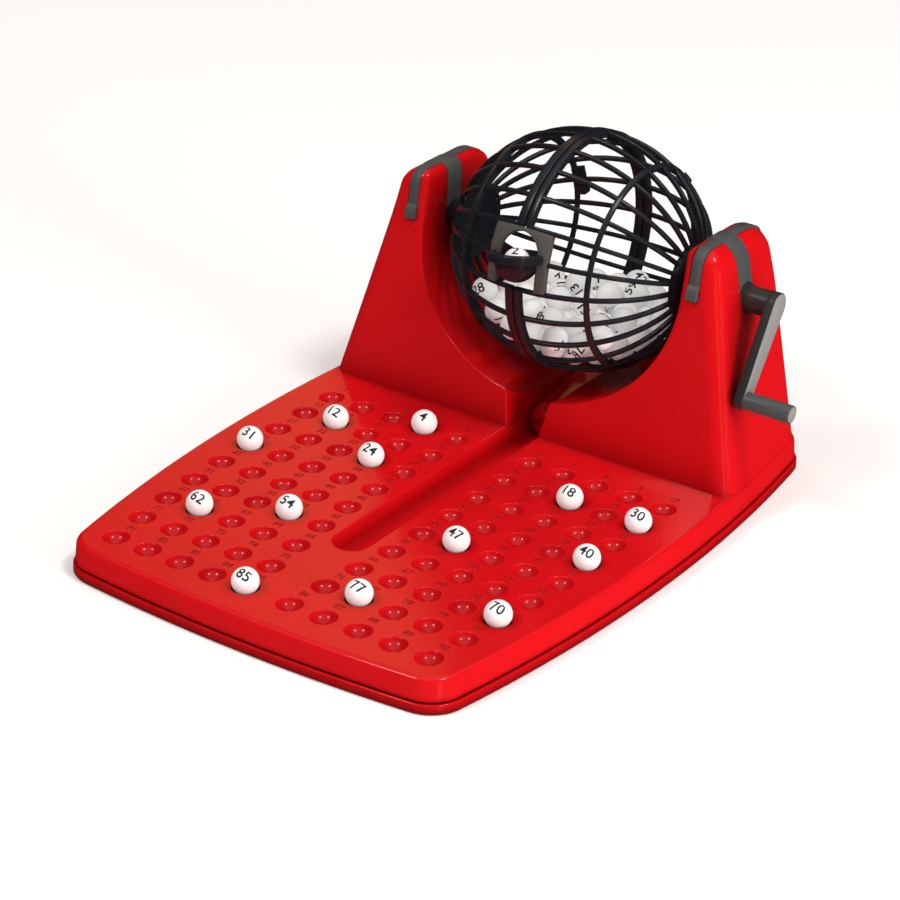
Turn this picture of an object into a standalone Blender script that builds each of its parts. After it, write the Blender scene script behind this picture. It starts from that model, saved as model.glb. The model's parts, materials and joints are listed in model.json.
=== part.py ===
"""Bingo cage: a red base with ball pits and two towers, a turning cage with a crank, and loose balls.

Metres, +Z up. X runs along the cage's axle, -Y is the front, and z = 0 is the table.
"""

import math

import bmesh
import bpy
import numpy as np
from mathutils import Matrix, Vector

GAP = 0.0003
THROUGH = 0.030

# Base: a plate with a flange, and the tray on top of it.
BASE_WIDTH = 0.235
BASE_DEPTH = 0.305
BASE_FRONT = -BASE_DEPTH / 2
BASE_BACK = BASE_DEPTH / 2
SIDE_BOW = 0.800
SIDE_BOW_Y = 0.015
FRONT_BOW = 0.870
BACK_BOW = 1.500
STRAIGHT = 50.0
BASE_CORNER = 0.018
FLANGE_TOP = 0.0052
PLATE_FLOOR = 0.0016
DECK_TOP = 0.0164
DECK_THICKNESS = 0.0052
BASE_WALL = 0.0022

# Ball pits, in two blocks either side of the channel.
BALL_RADIUS = 0.0065
PIT_RADIUS = 0.0064
PIT_DEPTH = 0.0037
PIT_ROWS = 9
PIT_COLUMNS = 5
ROW_PITCH = 0.0211
COLUMN_PITCH = 0.018175
FIRST_ROW_Y = 0.0390
FIRST_COLUMN_X = 0.0207
STRAIGHT_ROWS = 5
TAPER = 0.0088

# Channel from the chute to the middle of the tray.
CHANNEL_HALF = 0.009
CHANNEL_FRONT = -0.078
CHANNEL_FLOOR = 0.0056
CHANNEL_WALL = 0.0014
RAMP_FRONT = 0.060
RAMP_DECK = 0.084

# Stand: two towers with an oval cut-out between them.
AXLE_Y = 0.106
AXLE_Z = 0.0965
STAND_BOTTOM = DECK_TOP + GAP
STAND_FRONT = 0.0643
STAND_BACK = 0.134
STAND_TOP = 0.123
STAND_INSET = 0.0030
FRONT_LEAN = 0.191
BACK_LEAN = 0.025
SIDE_LEAN = 0.215
STAND_CORNER = 0.009
STAND_WALL = 0.0024
TOP_STEPS = ((0.012, 0.0), (0.006, 0.0020), (0.002, 0.0055), (0.0, 0.0110))
CUT_HALF_WIDTH = 0.071
CUT_DEPTH = 0.0635
LIP_WALL = 0.0026
LIP_RISE = 0.005
CHUTE_BACK = 0.128
CHUTE_RISE = 0.006
CHUTE_TOP = 0.036
CHUTE_TOP_HALF = 0.0125
GROOVE_HALF = 0.015
GROOVE_RADIUS = 0.0735
SLOT_HALF = 0.0044

# Cage: an oval of ribs and rings in two halves.
CAGE_HALF_LENGTH = 0.0642
CAGE_RADIUS = 0.0575
RIBS = 24
RIB_WIDTH = 0.0024
CAGE_WALL = 0.0026
RING_X = 0.034
RING_WIDTH = 0.0028
SEAM_HALF = 0.0004
SEAM_RING = 0.0032
DISH_RADIUS = 0.020
HUB_RADIUS = 0.007
HUB_END = 0.0694
STUB_RADIUS = 0.004
STUB_END = 0.0942

# Window frame and ball cup, between the ribs at 0 and 30 degrees.
WINDOW_HALF = 0.0156
WINDOW_RIB_END = 0.0163
WINDOW_TOP = math.radians(30)
WINDOW_LEG = 0.0048
CUP_Y = 0.0507
CUP_Z = 0.1103
CUP_RADIUS = 0.011
CUP_WALL = 0.0018
CUP_RIM_RADIUS = 0.0135
CUP_RIM_HEIGHT = 0.0038
CUP_TOP = 0.1124
LEG_SLOT = (0.0026, 0.0056)

# Axle clips.
STRAP_THICKNESS = 0.0018
STRAP_GAP = 0.0004
STRAP_X = 0.0780
LONG_STRAP_HALF = 0.003
CROSS_STRAP_HALF = 0.0055
STRAP_FOOT = 0.100
HOOK_HEIGHT = 0.0065
HOOK_DEPTH = 0.0016
CLIP_BORE = 0.0075

# Crank.
CRANK_HUB_RADIUS = 0.0063
CRANK_HUB_START = STUB_END + GAP
ARM_INNER_X = 0.1045
ARM_OUTER_X = 0.1090
ARM_HEAD_RADIUS = 0.0063
ARM_TIP_RADIUS = 0.0044
ARM_LENGTH = 0.045
ARM_ANGLE = math.radians(33)
HANDLE_RADIUS = 0.0043
HANDLE_END_X = 0.1325

# Balls that lie in pits, as (row, column) counted from the back left.
BALLS_IN_PITS = (
    (1, 4), (2, 2), (2, 8), (2, 10), (3, 4), (4, 1), (4, 10),
    (5, 7), (6, 4), (7, 2), (7, 10), (8, 7), (9, 5),
)
HEAP_TOP = 0.074
HEAP_CLEARANCE = 0.0035


def clear_scene():
    for obj in list(bpy.data.objects):
        bpy.data.objects.remove(obj)


def material(name, colour, roughness, metallic=0.0):
    made = bpy.data.materials.new(name)
    made.use_nodes = True
    shader = made.node_tree.nodes["Principled BSDF"]
    shader.inputs["Base Color"].default_value = (*colour, 1.0)
    shader.inputs["Roughness"].default_value = roughness
    shader.inputs["Metallic"].default_value = metallic
    return made


def build_object(name, bm, finish=None, origin=(0.0, 0.0, 0.0)):
    """Turns a bmesh in world coordinates into an object whose origin is at the given point."""
    bmesh.ops.recalc_face_normals(bm, faces=bm.faces)
    if bm.calc_volume(signed=True) < 0:
        bmesh.ops.reverse_faces(bm, faces=bm.faces)
    bmesh.ops.translate(bm, vec=-Vector(origin), verts=bm.verts)
    mesh = bpy.data.meshes.new(name)
    bm.to_mesh(mesh)
    bm.free()
    obj = bpy.data.objects.new(name, mesh)
    obj.location = origin
    bpy.context.scene.collection.objects.link(obj)
    if finish:
        mesh.materials.append(finish)
        mesh.shade_smooth()
        mesh.set_sharp_from_angle(angle=math.radians(35))
    else:
        obj.hide_render = True
        obj.display_type = "WIRE"
    return obj


def apply_modifiers(obj):
    bpy.context.view_layer.update()
    graph = bpy.context.evaluated_depsgraph_get()
    old = obj.data
    obj.data = bpy.data.meshes.new_from_object(obj.evaluated_get(graph))
    obj.modifiers.clear()
    bpy.data.meshes.remove(old)
    obj.data.name = obj.name


def combine(target, other, operation="DIFFERENCE"):
    """Cuts or joins another object into the target, then removes the other object."""
    modifier = target.modifiers.new(operation.title(), "BOOLEAN")
    modifier.operation = operation
    modifier.solver = "EXACT"
    modifier.object = other
    apply_modifiers(target)
    bpy.data.objects.remove(other)


def loft(rings):
    """A closed solid through rings of equal point count, with a flat cap on the first and the last."""
    bm = bmesh.new()
    rows = [[bm.verts.new(point) for point in ring] for ring in rings]
    count = len(rings[0])
    for lower, upper in zip(rows, rows[1:]):
        for i in range(count):
            j = (i + 1) % count
            bm.faces.new((lower[i], lower[j], upper[j], upper[i]))
    bm.faces.new(rows[0])
    bm.faces.new(rows[-1])
    return bm


def prism(points, axis, start, end):
    """A 2D outline extruded along one axis; its points are the other two coordinates in X, Y, Z order."""
    def place(point, along):
        values = list(point)
        values.insert("XYZ".index(axis), along)
        return values
    return loft([[place(point, along) for point in points] for along in (start, end)])


def arc(centre, radius, start, end, steps):
    """Points on a circle from one angle to another, both included."""
    angles = np.linspace(start, end, steps + 1)
    return [(centre[0] + radius * math.cos(a), centre[1] + radius * math.sin(a)) for a in angles]


def circle(centre, radius, sides):
    return arc(centre, radius, 0.0, 2 * math.pi, sides)[:-1]


def cylinder(axis, centre, radius, start, end, sides=16):
    return prism(circle(centre, radius, sides), axis, start, end)


def box(low, high):
    corners = ((low[0], low[1]), (high[0], low[1]), (high[0], high[1]), (low[0], high[1]))
    return prism(corners, "Z", low[2], high[2])


def circles_meet(first, first_radius, second, second_radius, near_y):
    """Where two circles cross, on the side of +X and nearest to the given y."""
    apart = math.dist(first, second)
    along = (first_radius**2 - second_radius**2 + apart**2) / (2 * apart)
    aside = math.sqrt(first_radius**2 - along**2)
    ux = (second[0] - first[0]) / apart
    uy = (second[1] - first[1]) / apart
    foot = (first[0] + along * ux, first[1] + along * uy)
    found = [(foot[0] - aside * uy, foot[1] + aside * ux), (foot[0] + aside * uy, foot[1] - aside * ux)]
    return min((point for point in found if point[0] > 0), key=lambda point: abs(point[1] - near_y))


def outline(inset, front, back, corner, front_bow=STRAIGHT, back_bow=STRAIGHT, steps=(3, 4, 6)):
    """The base's plan shape: bowed sides, a front and a back edge, and rounded corners."""
    edge_steps, corner_steps, side_steps = steps
    side_centre = (BASE_WIDTH / 2 - SIDE_BOW, SIDE_BOW_Y)
    side_radius = SIDE_BOW - inset
    front_centre = (0.0, front + front_bow)
    back_centre = (0.0, back - back_bow)
    front_corner = circles_meet(side_centre, side_radius - corner, front_centre, front_bow - corner, front)
    back_corner = circles_meet(side_centre, side_radius - corner, back_centre, back_bow - corner, back)

    def direction(start, end):
        return math.atan2(end[1] - start[1], end[0] - start[0])

    front_angle = direction(front_centre, front_corner)
    side_front = direction(side_centre, front_corner)
    side_back = direction(side_centre, back_corner)
    back_angle = direction(back_centre, back_corner)
    right = arc(front_centre, front_bow, -math.pi / 2, front_angle, edge_steps)
    right += arc(front_corner, corner, front_angle, side_front, corner_steps)[1:]
    right += arc(side_centre, side_radius, side_front, side_back, side_steps)[1:]
    right += arc(back_corner, corner, side_back, back_angle, corner_steps)[1:]
    right += arc(back_centre, back_bow, back_angle, math.pi / 2, edge_steps)[1:]
    left = [(-x, y) for x, y in reversed(right[1:-1])]
    return right + left


def base_ring(inset, z):
    points = outline(inset, BASE_FRONT + inset, BASE_BACK - inset, BASE_CORNER - inset, FRONT_BOW, BACK_BOW)
    return [(x, y, z) for x, y in points]


def pit_centre(row, column):
    """The pit in a row from the back (1 to 9) and a column from the left (1 to 10)."""
    bend = max(0, row - STRAIGHT_ROWS) / (PIT_ROWS - STRAIGHT_ROWS)
    first = FIRST_COLUMN_X - TAPER * bend**1.35
    if column <= PIT_COLUMNS:
        x = -first - (PIT_COLUMNS - column) * COLUMN_PITCH
    else:
        x = first + (column - PIT_COLUMNS - 1) * COLUMN_PITCH
    return x, FIRST_ROW_Y - (row - 1) * ROW_PITCH


def pit_cutter(sides=8):
    bm = bmesh.new()
    profile = ((PIT_RADIUS * 1.06, 0.001), (PIT_RADIUS, 0.0), (0.0049, -0.0022), (0.0022, -PIT_DEPTH))
    for row in range(1, PIT_ROWS + 1):
        for column in range(1, 2 * PIT_COLUMNS + 1):
            centre = pit_centre(row, column)
            rings = [[(x, y, DECK_TOP + z) for x, y in circle(centre, radius, sides)] for radius, z in profile]
            part = loft(rings)
            mesh = bpy.data.meshes.new("pit")
            part.to_mesh(mesh)
            part.free()
            bm.from_mesh(mesh)
            bpy.data.meshes.remove(mesh)
    return bm


def channel_outline(grow):
    """The channel's plan: a round front end and straight sides that run back under the stand."""
    half = CHANNEL_HALF + grow
    points = arc((0.0, CHANNEL_FRONT + CHANNEL_HALF), half, math.pi, 2 * math.pi, 8)
    return points + [(half, RAMP_DECK + grow), (-half, RAMP_DECK + grow)]


def make_base_plate(finish):
    rings = [
        base_ring(0.0008, 0.0),
        base_ring(0.0, 0.0008),
        base_ring(0.0, FLANGE_TOP),
        base_ring(BASE_WALL, FLANGE_TOP),
        base_ring(BASE_WALL, PLATE_FLOOR),
    ]
    return build_object("base_plate", loft(rings), finish)


def make_base_tray(finish):
    bottom = FLANGE_TOP + GAP
    rings = [
        base_ring(0.0040, DECK_TOP - DECK_THICKNESS),
        base_ring(0.0010 + BASE_WALL, bottom),
        base_ring(0.0010, bottom),
        base_ring(0.0016, DECK_TOP - 0.0022),
        base_ring(0.0021, DECK_TOP - 0.0007),
        base_ring(0.0034, DECK_TOP),
    ]
    tray = build_object("base_tray", loft(rings), finish)
    trough_floor = CHANNEL_FLOOR - CHANNEL_WALL
    trough = prism(channel_outline(CHANNEL_WALL), "Z", trough_floor, DECK_TOP - 0.002)
    combine(tray, build_object("trough", trough), "UNION")
    slot = build_object("slot", prism(channel_outline(0.0), "Z", CHANNEL_FLOOR, DECK_TOP + 0.01))
    wedge = prism(
        [(RAMP_FRONT, CHANNEL_FLOOR - 0.001), (RAMP_DECK + 0.001, DECK_TOP), (RAMP_DECK + 0.001, 0.0)],
        "X", -THROUGH, THROUGH,
    )
    combine(slot, build_object("wedge", wedge))
    combine(tray, slot)
    combine(tray, build_object("pits", pit_cutter()))
    return tray


def stand_front(z):
    return STAND_FRONT + FRONT_LEAN * (z - DECK_TOP)


def stand_back(z):
    return STAND_BACK - BACK_LEAN * (z - DECK_TOP)


def stand_section(z, inset, grow=0.0):
    """The stand's plan at one height, which shrinks towards the top as its walls lean in."""
    front = stand_front(z) + inset + grow
    side = STAND_INSET + SIDE_LEAN * (z - DECK_TOP) + inset + grow
    back = stand_back(z) - inset - grow
    points = outline(side, front, back, STAND_CORNER - grow, steps=(1, 4, 3))
    return [(x, y, z) for x, y in points]


def stand_block(bottom, grow):
    rings = [stand_section(bottom, 0.0, grow)]
    for below_top, inset in TOP_STEPS:
        rings.append(stand_section(STAND_TOP - below_top - grow, inset, grow))
    return loft(rings)


def cut_profile(grow, rise=0.0, steps=24):
    """Front view of the cut-out between the towers: half an oval, open at the top."""
    half = CUT_HALF_WIDTH - grow
    depth = CUT_DEPTH - grow - rise
    angles = np.linspace(math.pi, 2 * math.pi, steps + 1)
    points = [(half * math.cos(a), AXLE_Z + depth * math.sin(a)) for a in angles]
    return points + [(half, STAND_TOP + THROUGH), (-half, STAND_TOP + THROUGH)]


def chute():
    """The funnel under the cage, whose floor rises from the deck towards the back."""
    floors = (
        (STAND_FRONT - THROUGH, CHANNEL_FLOOR),
        (RAMP_DECK, DECK_TOP),
        (CHUTE_BACK, DECK_TOP + CHUTE_RISE),
    )
    rings = []
    for y, floor in floors:
        corners = [(-CHANNEL_HALF, floor), (CHANNEL_HALF, floor), (CHUTE_TOP_HALF, CHUTE_TOP), (-CHUTE_TOP_HALF, CHUTE_TOP)]
        rings.append([(x, y, z) for x, z in corners])
    return loft(rings)


def cup_groove(grow):
    """The room that the ball cup needs as it turns past the bottom of the cut-out."""
    half = GROOVE_HALF + grow
    return cylinder("X", (AXLE_Y, AXLE_Z), GROOVE_RADIUS + grow, -half, half, 48)


def make_stand(finish):
    stand = build_object("cage_stand", stand_block(STAND_BOTTOM, 0.0), finish)
    hollow = build_object("hollow", stand_block(STAND_BOTTOM - 0.01, STAND_WALL))
    through = (STAND_FRONT - THROUGH, STAND_BACK + THROUGH)
    combine(hollow, build_object("keep_cut", prism(cut_profile(-STAND_WALL), "Y", *through)))
    keep = CHUTE_TOP_HALF + STAND_WALL
    combine(hollow, build_object("keep_chute", box((-keep, through[0], 0.0), (keep, through[1], CHUTE_TOP))))
    combine(hollow, build_object("keep_groove", cup_groove(STAND_WALL)))
    combine(stand, hollow)
    lip = STAND_BACK - LIP_WALL
    combine(stand, build_object("cut", prism(cut_profile(0.0), "Y", through[0], lip)))
    combine(stand, build_object("lip_cut", prism(cut_profile(0.002, LIP_RISE), "Y", lip - 0.01, through[1])))
    combine(stand, build_object("chute", chute()))
    combine(stand, build_object("groove", cup_groove(0.0)))
    slot = arc((AXLE_Y, AXLE_Z), SLOT_HALF, math.pi, 2 * math.pi, 8)
    slot += [(AXLE_Y + SLOT_HALF, STAND_TOP + THROUGH), (AXLE_Y - SLOT_HALF, STAND_TOP + THROUGH)]
    combine(stand, build_object("axle_slot", prism(slot, "X", -BASE_WIDTH / 2, BASE_WIDTH / 2)))
    return stand


def offset_path(points, distance):
    """A polyline moved sideways, to the left of its direction, with mitred corners."""
    moved = []
    for i, point in enumerate(points):
        before = Vector(points[max(i - 1, 0)])
        here = Vector(point)
        after = Vector(points[min(i + 1, len(points) - 1)])
        first = (here - before).normalized() if i else (after - here).normalized()
        second = (after - here).normalized() if i < len(points) - 1 else first
        mean = (first + second).normalized()
        normal = Vector((-mean.y, mean.x))
        moved.append(here + normal * distance / max(mean.dot(first), 0.3))
    return [tuple(point) for point in moved]


def strap(path, axis, centre, half_width):
    """A strip that follows a path over the tower, just clear of it."""
    inner = offset_path(path, STRAP_GAP)
    outer = offset_path(path, STRAP_GAP + STRAP_THICKNESS)
    return prism(inner + outer[::-1], axis, centre - half_width, centre + half_width)


def tower_top_path():
    """Depth-wise section over a tower, from the front foot of the strap to the back one."""
    front = [(stand_front(STRAP_FOOT), STRAP_FOOT)]
    back = [(stand_back(STRAP_FOOT), STRAP_FOOT)]
    for below_top, inset in TOP_STEPS:
        z = STAND_TOP - below_top
        front.append((stand_front(z) + inset, z))
        back.append((stand_back(z) - inset, z))
    return front + back[::-1]


def stand_half_width(z):
    """The tower's outer side at the front edge of the cross strap, at one height."""
    side_radius = SIDE_BOW - STAND_INSET - SIDE_LEAN * (z - DECK_TOP)
    reach = math.sqrt(side_radius**2 - (AXLE_Y - CROSS_STRAP_HALF - SIDE_BOW_Y) ** 2)
    return BASE_WIDTH / 2 - SIDE_BOW + reach


def tower_side_path():
    """Width-wise section over the right tower, from its inner face to its outer side."""
    outer = [(stand_half_width(STRAP_FOOT), STRAP_FOOT)]
    for below_top, inset in TOP_STEPS:
        z = STAND_TOP - below_top
        outer.append((stand_half_width(z) - inset, z))
    return [(CUT_HALF_WIDTH, STRAP_FOOT), (CUT_HALF_WIDTH, STAND_TOP)] + outer[::-1]


def make_clip(name, side, finish):
    """A cross-shaped clip over one tower; side is +1 for the right tower and -1 for the left."""
    cross = tower_side_path()
    clip = build_object(name, strap(cross, "Y", AXLE_Y, CROSS_STRAP_HALF), finish)
    lengthwise = strap(tower_top_path(), "X", STRAP_X, LONG_STRAP_HALF)
    combine(clip, build_object("lengthwise", lengthwise), "UNION")
    front = stand_front(STRAP_FOOT) - STRAP_GAP - STRAP_THICKNESS
    back = stand_back(STRAP_FOOT) + STRAP_GAP + STRAP_THICKNESS
    for inner_y, outer_y in ((front + 0.0010, front - HOOK_DEPTH), (back - 0.0010, back + HOOK_DEPTH)):
        low, high = sorted((inner_y, outer_y))
        corner = (STRAP_X + LONG_STRAP_HALF, high, STRAP_FOOT + HOOK_HEIGHT)
        hook = box((STRAP_X - LONG_STRAP_HALF, low, STRAP_FOOT), corner)
        combine(clip, build_object("hook", hook), "UNION")
    bore = cylinder("X", (AXLE_Y, AXLE_Z), CLIP_BORE, CUT_HALF_WIDTH - 0.01, BASE_WIDTH / 2)
    combine(clip, build_object("bore", bore))
    if side < 0:
        clip.data.transform(Matrix.Scale(-1, 4, (1, 0, 0)))
        clip.data.flip_normals()
    return clip


def cage_point(x, angle, sideways=0.0, radius=CAGE_RADIUS):
    """A point on the cage's oval surface; angle 0 faces the front and 90 degrees faces up."""
    rho = radius * math.sqrt(max(0.0, 1 - (x / CAGE_HALF_LENGTH) ** 2))
    turn = angle + (math.asin(sideways / rho) if rho > abs(sideways) else 0.0)
    return x, AXLE_Y - rho * math.cos(turn), AXLE_Z + rho * math.sin(turn)


def cage_levels():
    """Distances from the middle at which the lattice has a row, with whether the row after it is a ring."""
    dish_x = CAGE_HALF_LENGTH * math.sqrt(1 - (DISH_RADIUS / CAGE_RADIUS) ** 2)
    ring_in = RING_X - RING_WIDTH / 2
    ring_out = RING_X + RING_WIDTH / 2
    return (
        (SEAM_HALF, True),
        (SEAM_RING, False),
        (WINDOW_RIB_END, False),
        (ring_in, True),
        (ring_out, False),
        ((ring_out + dish_x) / 2 + 0.004, False),
        (dish_x, True),
    )


def in_window(level, gap):
    """Whether a lattice cell lies in the window: gap counts half rib pitches from the rib at 0 degrees."""
    return level < 2 and 1 <= gap <= 3


def make_cage_half(name, side, finish):
    """Ribs and rings as a sheet of cells, thickened inwards, with the hub and stub axle joined on."""
    bm = bmesh.new()
    levels = cage_levels()
    grid = []
    for x, _ in levels:
        row = []
        for rib in range(RIBS):
            angle = 2 * math.pi * rib / RIBS
            for edge in (-RIB_WIDTH / 2, RIB_WIDTH / 2):
                row.append(bm.verts.new(cage_point(side * x, angle, edge)))
        grid.append(row)
    hub_x = CAGE_HALF_LENGTH * math.sqrt(1 - (HUB_RADIUS / CAGE_RADIUS) ** 2)
    hub_row = []
    for rib in range(RIBS):
        angle = 2 * math.pi * rib / RIBS
        for edge in (-RIB_WIDTH / 2, RIB_WIDTH / 2):
            turn = angle + edge / DISH_RADIUS
            y = AXLE_Y - HUB_RADIUS * 0.8 * math.cos(turn)
            hub_row.append(bm.verts.new((side * hub_x, y, AXLE_Z + HUB_RADIUS * 0.8 * math.sin(turn))))
    grid.append(hub_row)
    columns = 2 * RIBS
    for level, (_, ring) in enumerate(levels):
        for i in range(columns):
            rib_cell = i % 2 == 0
            gap = i if i <= RIBS else i - columns
            if not (rib_cell or ring) or in_window(level, gap):
                continue
            j = (i + 1) % columns
            bm.faces.new((grid[level][i], grid[level][j], grid[level + 1][j], grid[level + 1][i]))
    bm.faces.new(hub_row)
    loose = [vertex for vertex in bm.verts if not vertex.link_faces]
    bmesh.ops.delete(bm, geom=loose, context="VERTS")
    bmesh.ops.recalc_face_normals(bm, faces=bm.faces)
    outward = Vector((side, 0.0, 0.0))
    cap = max(bm.faces, key=lambda face: face.calc_center_median().x * side)
    if cap.normal.dot(outward) < 0:
        bmesh.ops.reverse_faces(bm, faces=bm.faces)
    mesh = bpy.data.meshes.new(name)
    bm.to_mesh(mesh)
    bm.free()
    mesh.materials.append(finish)
    half = bpy.data.objects.new(name, mesh)
    bpy.context.scene.collection.objects.link(half)
    thicken = half.modifiers.new("Wall", "SOLIDIFY")
    thicken.thickness = CAGE_WALL
    thicken.offset = -1.0
    apply_modifiers(half)
    hub_start = hub_x - CAGE_WALL / 2
    hub = cylinder("X", (AXLE_Y, AXLE_Z), HUB_RADIUS, side * hub_start, side * HUB_END, 16)
    combine(half, build_object("hub", hub), "UNION")
    stub = cylinder("X", (AXLE_Y, AXLE_Z), STUB_RADIUS, side * (HUB_END - 0.002), side * STUB_END, 12)
    combine(half, build_object("stub", stub), "UNION")
    move_origin(half, (0.0, AXLE_Y, AXLE_Z))
    smooth(half)
    return half


def move_origin(obj, point):
    obj.data.transform(Matrix.Translation(-Vector(point)))
    obj.location = point


def smooth(obj):
    obj.data.shade_smooth()
    obj.data.set_sharp_from_angle(angle=math.radians(35))


def make_window_frame(finish, steps=12):
    """An arch-shaped panel that follows the cage's surface between two ribs."""
    clearance = RIB_WIDTH / 2 + GAP
    low = clearance / CAGE_RADIUS
    high = WINDOW_TOP - clearance / CAGE_RADIUS
    half = WINDOW_HALF - GAP
    outer = [(-half, low)]
    inner = [(-half + WINDOW_LEG, low)]
    arch_base = 0.55 * high
    for step in range(steps + 1):
        turn = math.pi * (1 - step / steps)
        c = math.cos(turn)
        s = math.sin(turn)
        square = max(abs(c), abs(s)) ** 0.75
        outer.append((half * min(1.0, max(-1.0, c / square)), arch_base + (high - arch_base) * min(1.0, s / square)))
        inner.append(((half - WINDOW_LEG) * c, arch_base + (high - arch_base) * 0.72 * s))
    outer.append((half, low))
    inner.append((half - WINDOW_LEG, low))
    rows = []
    for radius in (CAGE_RADIUS, CAGE_RADIUS - CAGE_WALL):
        rows.append([cage_point(x, angle, 0.0, radius) for x, angle in outer])
        rows.append([cage_point(x, angle, 0.0, radius) for x, angle in inner])
    sections = list(zip(rows[0], rows[1], rows[3], rows[2]))
    return build_object("window_frame", loft(sections), finish, (0.0, AXLE_Y, AXLE_Z))


def turned(profile, centre, sides):
    """A profile of (radius, height) turned about a vertical line, closed at both ends on the line."""
    rings = [[(x, y, z) for x, y in circle(centre, radius, sides)] for radius, z in profile]
    return loft(rings)


def make_ball_cup(finish):
    inner_centre = CUP_Z + 0.0007
    inner_radius = CUP_RADIUS - CUP_WALL
    profile = []
    for step in range(4):
        turn = math.radians(12 + 26 * step)
        profile.append((CUP_RADIUS * math.sin(turn), CUP_Z - CUP_RADIUS * math.cos(turn)))
    profile += [
        (CUP_RADIUS, CUP_TOP - CUP_RIM_HEIGHT),
        (CUP_RIM_RADIUS, CUP_TOP - CUP_RIM_HEIGHT),
        (CUP_RIM_RADIUS, CUP_TOP),
        (inner_radius, CUP_TOP),
    ]
    for step in range(4):
        turn = math.radians(90 - 26 * step)
        profile.append((inner_radius * math.sin(turn), inner_centre - inner_radius * math.cos(turn)))
    cup = build_object("ball_cup", turned(profile, (0.0, CUP_Y), 20), finish, (0.0, AXLE_Y, AXLE_Z))
    for side in (-1, 1):
        low_x, high_x = sorted((side * (WINDOW_HALF - WINDOW_LEG - 2 * GAP), side * (CUP_RIM_RADIUS + 0.002)))
        slot = box((low_x, CUP_Y - LEG_SLOT[0], CUP_Z - 0.006), (high_x, CUP_Y + LEG_SLOT[1], CUP_TOP + 0.002))
        combine(cup, build_object("leg_slot", slot))
    return cup


def make_ring_latch(finish):
    """A block across the middle ring, held at the back of the cage."""
    angle = math.radians(120)
    width = 0.0042
    rows = []
    for radius, half in ((CAGE_RADIUS + GAP, width), (CAGE_RADIUS + 0.0014, width - 0.0006)):
        ring = []
        for x, turn in ((-half, -0.07), (half, -0.07), (half, 0.07), (-half, 0.07)):
            centre = (0.0, AXLE_Y - radius * math.cos(angle + turn), AXLE_Z + radius * math.sin(angle + turn))
            ring.append((x, centre[1], centre[2]))
        rows.append(ring)
    return build_object("ring_latch", loft(rows), finish, (0.0, AXLE_Y, AXLE_Z))


def make_crank(finish):
    axle = (AXLE_Y, AXLE_Z)
    crank = build_object("crank", cylinder("X", axle, CRANK_HUB_RADIUS, CRANK_HUB_START, ARM_INNER_X + 0.001), finish)
    tip = (AXLE_Y - ARM_LENGTH * math.sin(ARM_ANGLE), AXLE_Z - ARM_LENGTH * math.cos(ARM_ANGLE))
    down = math.atan2(tip[1] - axle[1], tip[0] - axle[0])
    plan = arc(axle, ARM_HEAD_RADIUS, down + math.pi / 2, down + 3 * math.pi / 2, 8)
    plan += arc(tip, ARM_TIP_RADIUS, down - math.pi / 2, down + math.pi / 2, 6)
    combine(crank, build_object("arm", prism(plan, "X", ARM_INNER_X, ARM_OUTER_X)), "UNION")
    handle = cylinder("X", tip, HANDLE_RADIUS, ARM_INNER_X + 0.0005, HANDLE_END_X)
    combine(crank, build_object("handle", handle), "UNION")
    move_origin(crank, (0.0, AXLE_Y, AXLE_Z))
    smooth(crank)
    return crank


def make_ball(name, centre, finish):
    bm = bmesh.new()
    bmesh.ops.create_icosphere(bm, subdivisions=2, radius=BALL_RADIUS, matrix=Matrix.Translation(centre))
    return build_object(name, bm, finish, centre)


def make_ball_heap(finish):
    """One solid for the balls that lie loose in the cage, with room for the cup to pass."""
    length = CAGE_HALF_LENGTH - CAGE_WALL - HEAP_CLEARANCE
    radius = CAGE_RADIUS - CAGE_WALL - HEAP_CLEARANCE / 3
    bm = bmesh.new()
    scale = Matrix.Diagonal((length, radius, radius, 1.0))
    place = Matrix.Translation((0.0, AXLE_Y, AXLE_Z)) @ scale
    bmesh.ops.create_uvsphere(bm, u_segments=20, v_segments=12, radius=1.0, matrix=place)
    heap = build_object("ball_heap", bm, finish)
    combine(heap, build_object("level", box((-0.1, 0.0, HEAP_TOP), (0.1, 0.2, 0.2))))
    return heap


def carve_cup_path(heap):
    """A groove round the axle in the heap, as wide and as deep as the cup's sweep."""
    reach = AXLE_Y - CUP_Y - CUP_RIM_RADIUS - 0.001
    half = CUP_RIM_RADIUS + 0.0015
    ring = build_object("ring", cylinder("X", (AXLE_Y, AXLE_Z), CAGE_RADIUS + 0.01, -half, half, 32))
    combine(ring, build_object("core", cylinder("X", (AXLE_Y, AXLE_Z), reach, -half - 0.01, half + 0.01, 32)))
    combine(heap, ring)


def main():
    clear_scene()
    red = material("red_plastic", (0.62, 0.012, 0.018), 0.22)
    dark = material("clip_plastic", (0.075, 0.08, 0.08), 0.45)
    black = material("cage_plastic", (0.02, 0.022, 0.026), 0.2)
    matte = material("frame_plastic", (0.07, 0.065, 0.06), 0.6)
    white = material("ball_plastic", (0.85, 0.85, 0.85), 0.3)
    make_base_plate(red)
    make_base_tray(red)
    make_stand(red)
    make_clip("right_axle_clip", 1, dark)
    make_clip("left_axle_clip", -1, dark)
    make_cage_half("right_cage_half", 1, black)
    make_cage_half("left_cage_half", -1, black)
    make_window_frame(matte)
    make_ball_cup(black)
    make_ring_latch(black)
    make_crank(dark)
    for number, (row, column) in enumerate(BALLS_IN_PITS, 1):
        x, y = pit_centre(row, column)
        centre = (x, y, DECK_TOP - PIT_DEPTH + BALL_RADIUS + GAP)
        make_ball(f"tray_ball_{number:02d}", centre, white)
    cup_floor = CUP_Z + 0.0007 - CUP_RADIUS + CUP_WALL
    make_ball("cup_ball", (0.0, CUP_Y, cup_floor + BALL_RADIUS + GAP), white)
    heap = make_ball_heap(white)
    carve_cup_path(heap)


main()
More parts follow.
